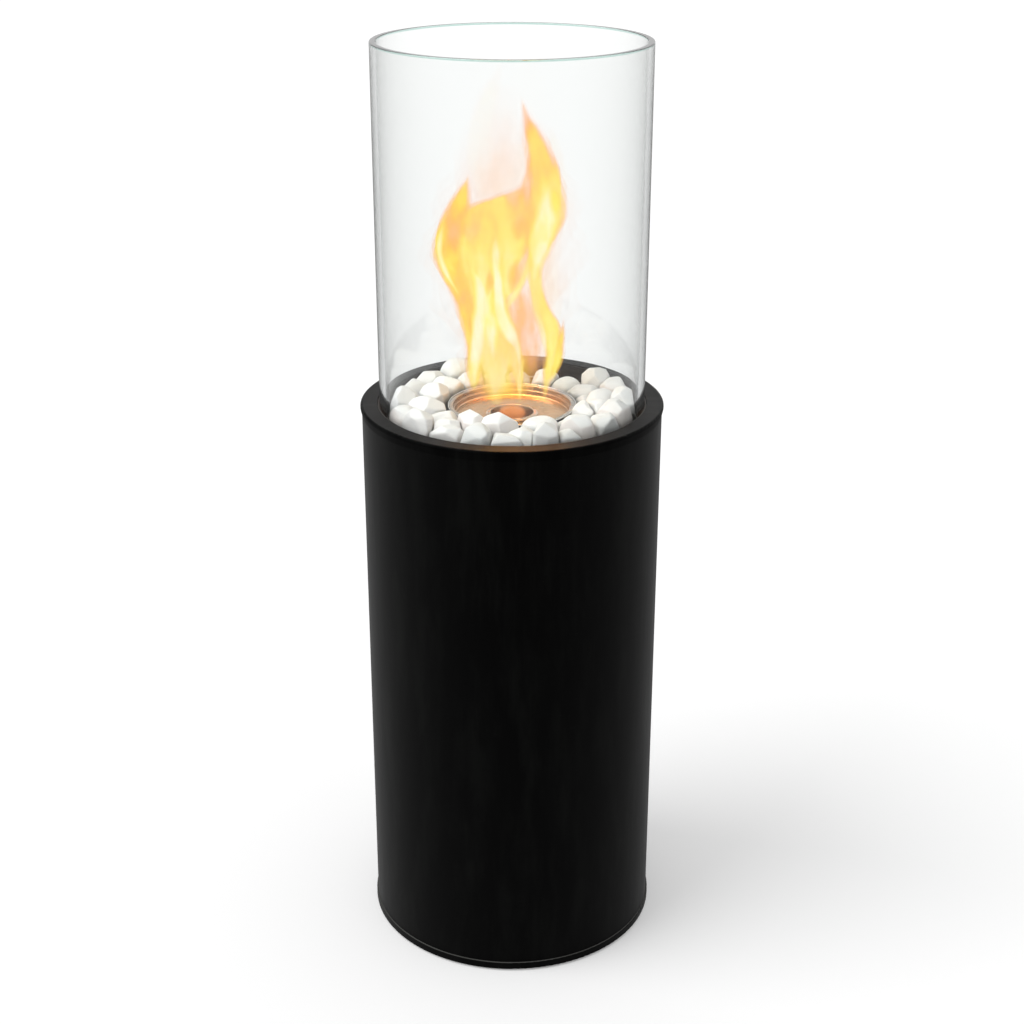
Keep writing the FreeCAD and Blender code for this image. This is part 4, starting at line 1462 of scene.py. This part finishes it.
FLAME_TONGUES = (
    # Wide sheet that joins the lobes
    Tongue(
        ((-16, 14, 566, 10), (-17, 14, 600, 25), (-18, 13, 640, 26), (-25, 12, 670, 26), (-21, 10, 690, 34),
         (-24, 8, 710, 43), (-23, 7, 730, 50), (-17, 6, 750, 52), (-7, 5, 766, 43), (8, 4, 778, 25),
         (18, 4, 790, 10), (16, 4, 799, 1)),
        0.36, 7, 2.4, (0.3, 0.92), (0.06, 0.42), 0.55,
    ),
    # Right lobe with the tall tip
    Tongue(
        ((33, 12, 610, 4), (31, 10, 645, 8), (25, 7, 675, 9), (22, 5, 695, 9), (22, 4, 712, 10),
         (26, 3, 732, 17), (31, 2, 752, 21), (32, 2, 771, 20.5), (29.5, 2, 800, 18.5), (25, 3, 820, 15),
         (18.5, 4, 840, 11), (13, 5, 855, 6.5), (9, 5, 870, 0.5)),
        0.6, 7, 1.5, (0.15, 1.05), (0.06, 0.5), 0.7,
    ),
    # Tall tip
    Tongue(
        ((20, 4, 826, 6), (16, 4, 840, 6), (13, 5, 852, 4.5), (10.5, 5, 862, 2.5), (9, 5, 870, 0.5)),
        0.6, 4, 1.1, (0.14, 0.4), (0.1, 0.3), 0.05,
    ),
    # Curve between the sheet and the tall tip
    Tongue(
        ((4, 3, 766, 5), (10, 3, 780, 7), (15, 3, 794, 6.5), (18, 3, 810, 4.5), (19, 4, 826, 1)),
        0.6, 4, 1.4, (0.2, 0.45), (0.08, 0.24),
    ),
    # Orange veil between the centre and the right leg
    Tongue(
        ((18, 18, 588, 4), (20, 16, 612, 12), (17, 13, 638, 14), (11, 11, 664, 11), (7, 9, 690, 8),
         (7, 8, 714, 2)),
        0.5, 5, 2.1, (0.16, 0.24), (0.06, 0.13), 0.05,
    ),
    # Left lobe
    Tongue(
        ((-40, 16, 590, 4), (-40, 14, 630, 8), (-46, 10, 670, 12), (-57, 6, 705, 16), (-61, 3, 724, 17),
         (-58, 2, 745, 16), (-52, 2, 765, 13), (-46, 3, 783, 7.5), (-42, 4, 794, 3), (-40, 4, 802, 0.5)),
        0.6, 6, 1.3, (0.12, 0.6),
    ),
    # Left leg
    Tongue(
        ((-38, 24, 575, 2.5), (-38, 22, 590, 8), (-38, 19, 606, 9.5), (-35, 16, 630, 11),
         (-33, 13, 655, 11.5), (-33, 10, 680, 8), (-40, 7, 708, 4), (-48, 5, 728, 1)),
        0.7, 6, 1.2, (0.15, 1.0), (0.08, 0.55),
    ),
    # Centre tongue
    Tongue(
        ((8, 30, 562, 2), (7, 26, 585, 5), (1, 20, 615, 11), (-9, 14, 645, 12.5), (-12, 10, 670, 10),
         (-13, 7, 700, 6), (-13, 5, 726, 4), (-12, 4, 745, 1)),
        0.7, 6, 1.1, (0.3, 1.1), (0.1, 0.6),
    ),
    # Right lower tongue
    Tongue(
        ((32.5, 22, 565, 2.5), (35, 19, 590, 6), (39, 16, 612, 8.5), (41, 13, 634, 9.5), (38, 10, 650, 10),
         (29, 8, 668, 8), (23, 6, 690, 6), (24, 4, 720, 4), (27, 4, 745, 1)),
        0.7, 6, 1.1, (0.12, 0.82), (0.08, 0.5),
    ),
    # Short tongue at the right edge
    Tongue(
        ((40, 18, 588, 3), (45, 14, 612, 6), (48, 11, 632, 5), (50, 9, 648, 2.5), (51, 8, 660, 0.5)),
        0.7, 5, 1.0, (0.12, 0.62), (0.1, 0.4), 0.1,
    ),
    # Band that arches from the centre to the right lobe
    Tongue(
        ((-8, 2, 662, 2), (0, -2, 678, 5), (9, -3, 694, 5.5), (15, -3, 712, 6), (20, -3, 732, 4),
         (24, -2, 748, 1)),
        0.7, 5, 1.1, (0.4, 0.9), (0.05, 0.26),
    ),
    # Middle leg
    Tongue(
        ((-16, 20, 588, 2), (-16, 18, 610, 6.5), (-17, 15, 640, 8.5), (-19, 12, 665, 8), (-22, 9, 692, 5),
         (-22, 7, 720, 1)),
        0.7, 5, 1.2, (0.25, 0.95),
    ),
    # Bright heart of the right lobe
    Tongue(
        ((21, 2, 690, 3), (23, -3, 712, 8), (26, -7, 735, 14), (30, -9, 752, 14), (32, -8, 772, 9.5),
         (29, -6, 795, 7), (25, -4, 813, 5.5), (20, -1, 830, 3.5), (16, 2, 844, 0.8)),
        0.7, 6, 1.4, (0.6, 1.06), (0.05, 0.28), 0.4,
    ),
    # Bright left edge
    Tongue(
        ((-48, 2, 676, 1.5), (-63, -3, 704, 4), (-69, -4, 724, 5), (-67, -3, 744, 4), (-61, -1, 764, 1)),
        0.8, 5, 0.9, (0.5, 1.0), (0.06, 0.34),
    ),
    # White streak in the middle
    Tongue(
        ((8, 20, 584, 1.5), (6, 8, 622, 4), (-2, -3, 642, 8.5), (-11, -8, 666, 8.5), (-14, -10, 698, 5.5),
         (-16, -9, 728, 6.5), (-14, -7, 752, 0.8)),
        0.8, 6, 0.9, (0.65, 1.25), (0.07, 0.4),
    ),
    # Pale body over the left leg
    Tongue(
        ((-38, 18, 584, 3), (-37, 8, 605, 7.5), (-33, 2, 640, 8.5), (-29, -3, 668, 10), (-32, -6, 694, 6.5),
         (-41, -6, 716, 3), (-49, -4, 738, 0.6)),
        0.8, 6, 1.2, (0.6, 1.15), (0.06, 0.36),
    ),
    # Pale middle that joins the legs
    Tongue(
        ((-18, 8, 606, 2), (-19, 0, 634, 8), (-20, -5, 660, 11), (-21, -7, 684, 8), (-20, -8, 712, 1)),
        0.7, 6, 1.4, (0.6, 1.02), (0.05, 0.28),
    ),
    # Amber hollows in the sheet
    Tongue(
        ((4, -15, 734, 1), (7, -16, 752, 10), (10, -15, 770, 1)),
        0.5, 5, 1.7, (0.3, 0.44), (0.05, 0.2),
    ),
    Tongue(
        ((-2, -13, 684, 1), (3, -14, 706, 8.5), (5, -13, 724, 1)),
        0.5, 5, 1.5, (0.28, 0.42), (0.06, 0.22),
    ),
    Tongue(
        ((-52, -9, 706, 1.5), (-57, -10, 732, 10), (-50, -9, 764, 1.5)),
        0.5, 5, 1.8, (0.26, 0.38), (0.06, 0.2),
    ),
    Tongue(
        ((40, -11, 758, 1), (41, -11, 775, 7), (38, -10, 794, 1)),
        0.5, 4, 1.5, (0.34, 0.46), (0.05, 0.18),
    ),
    Tongue(
        ((-24, -13, 682, 1), (-21, -14, 698, 5), (-22, -13, 714, 1)),
        0.5, 4, 1.1, (0.3, 0.42), (0.06, 0.2),
    ),
    # Amber glow low over the dish
    Tongue(
        ((-12, 18, 565, 12), (-12, 14, 580, 36), (-10, 12, 605, 42), (-6, 10, 635, 40), (0, 8, 665, 30),
         (4, 6, 690, 8)),
        0.5, 7, 4.0, (0.15, 0.4), (0.032, 0.09), 0.3,
    ),
    # Warm haze round the whole flame
    Tongue(
        ((-4, 14, 590, 40), (-6, 12, 650, 62), (-8, 8, 720, 78), (-4, 5, 780, 66), (-4, 4, 830, 44),
         (-8, 4, 880, 14)),
        0.7, 9, 5.0, (0.0, 0.05), (0.014, 0.026),
    ),
)


@dataclass(frozen=True)
class Fire:
    """Lamp in the flame: place, power, radius, and the only pieces that mirror it, if any are named."""

    name: str
    place: tuple[float, float, float]
    power: float
    radius: float
    mirrors: tuple[str, ...] = ()


@dataclass
class Studio:
    """White studio with soft light from the left and a camera at the photograph's place.

    Fields:
        camera_pitch, sun_size: Angles in degrees.
        lens, sensor: Millimetres.
        sky: Brightness of the surroundings as light.
        horizon: Their brightness where they are seen.
        clear_bounces: Layers of thin gas that a ray may pass.
    """

    camera_place: tuple[float, float, float] = (0.0, -1.63787, 1.13527)
    camera_pitch: float = 22.59
    lens: float = 61.26
    sensor: float = 36.0
    floor_radius: float = 40.0
    sky: float = 0.76
    horizon: float = 1.08
    sun: float = 1.66
    sun_size: float = 50.0
    sun_from: tuple[float, float, float] = (-1.0, -0.35, 0.95)
    fires: tuple[Fire, ...] = (
        Fire("fire_glow", (-0.005, 0.0, 0.64), 0.035, 0.03),
        Fire("fire_foot", (0.0, 0.0, 0.552), 0.009, 0.015),
        Fire("fire_gleam", (-0.005, 0.01, 0.67), 16.0, 0.045, ("collar_ring", "fire_tray")),
        Fire(
            "fire_shine", (-0.005, 0.02, 0.64), 3.8, 0.03,
            ("burner_dish_spun", "burner_cup_spun", "mouth_ring_spun"),
        ),
    )
    fire_colour: Colour = (1.0, 0.42, 0.14)
    bounces: int = 24
    glass_bounces: int = 20
    clear_bounces: int = 96

    def build(self, nodes: Mapping[str, bpy.types.Object], burner: bpy.types.Object) -> None:
        """Set up floor, light and camera; the fire's own light moves with the burner."""
        scene = bpy.context.scene
        scene.view_settings.view_transform = "Standard"
        self.make_floor()
        self.make_sky(scene)
        self.make_lamps(nodes, burner)
        camera = bpy.data.objects.new("camera", bpy.data.cameras.new("camera"))
        camera.data.lens = self.lens
        camera.data.sensor_width = self.sensor
        camera.location = self.camera_place
        camera.rotation_euler = (math.radians(90.0 - self.camera_pitch), 0.0, 0.0)
        scene.collection.objects.link(camera)
        scene.camera = camera
        scene.cycles.transparent_max_bounces = self.clear_bounces
        scene.cycles.max_bounces = self.bounces
        scene.cycles.transmission_bounces = self.glass_bounces

    def make_floor(self) -> None:
        """Lay the floor."""
        work = bmesh.new()
        bmesh.ops.create_circle(work, cap_ends=True, segments=96, radius=self.floor_radius)
        mesh = written("floor", work)
        mesh.materials.append(StudioFloor().material())
        placed("floor", mesh)

    def make_sky(self, scene: bpy.types.Scene) -> None:
        """Plain white surroundings, softer as light, and as bright as the floor where they are seen."""
        world = bpy.data.worlds.new("studio")
        scene.world = world
        world.use_nodes = True
        graph = Graph(world.node_tree)
        graph.tree.nodes.clear()
        path = graph.node("ShaderNodeLightPath")
        seen = path.output("Is Camera Ray") + path.output("Is Transmission Ray")
        seen = seen.maths("MINIMUM", seen, 1.0)
        mirrored = path.output("Is Glossy Ray") * (1.0 - seen)
        strength = self.sky + (self.horizon - self.sky) * seen + (1.0 - self.sky) * mirrored
        sky = graph.node("ShaderNodeBackground", None, {"Color": opaque(WHITE), "Strength": strength})
        graph.node("ShaderNodeOutputWorld", None, {"Surface": sky})

    def make_lamps(self, nodes: Mapping[str, bpy.types.Object], burner: bpy.types.Object) -> None:
        """Hang the soft sun and the fire's lamps; a lamp with mirrors shows only as a gleam on them."""
        sun = bpy.data.lights.new("soft_sun", "SUN")
        sun.energy = self.sun
        sun.angle = math.radians(self.sun_size)
        hung = bpy.data.objects.new("soft_sun", sun)
        hung.rotation_mode = "QUATERNION"
        hung.rotation_quaternion = Vector(self.sun_from).to_track_quat("Z", "Y")
        bpy.context.scene.collection.objects.link(hung)
        for fire in self.fires:
            lamp = bpy.data.lights.new(fire.name, "POINT")
            lamp.energy = fire.power
            lamp.color = self.fire_colour
            lamp.shadow_soft_size = fire.radius
            glow = bpy.data.objects.new(fire.name, lamp)
            glow.location = fire.place
            glow.parent = burner
            glow.visible_camera = False
            glow.visible_transmission = False
            if fire.mirrors:
                glow.visible_diffuse = False
                shiny = bpy.data.collections.new(fire.name + "_mirrors")
                for name in fire.mirrors:
                    shiny.objects.link(nodes.get(name) or bpy.data.objects[name])
                glow.light_linking.receiver_collection = shiny
            bpy.context.scene.collection.objects.link(glow)


def main() -> None:
    """Build every group of the fireplace round the frame."""
    logging.basicConfig(level=logging.INFO, format="%(name)s: %(message)s")
    for leftover in list(bpy.data.objects):
        bpy.data.objects.remove(leftover)
    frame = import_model()
    nodes = frame["nodes"]
    makers: tuple[Callable[..., Assembly], ...] = (Column, FireTray, StoneBed, GlassChimney, Burner, Flame)
    for maker in makers:
        maker(nodes).build()
    Studio().build(nodes, frame["bodies"]["burner"])


if __name__ == "__main__":
    main()
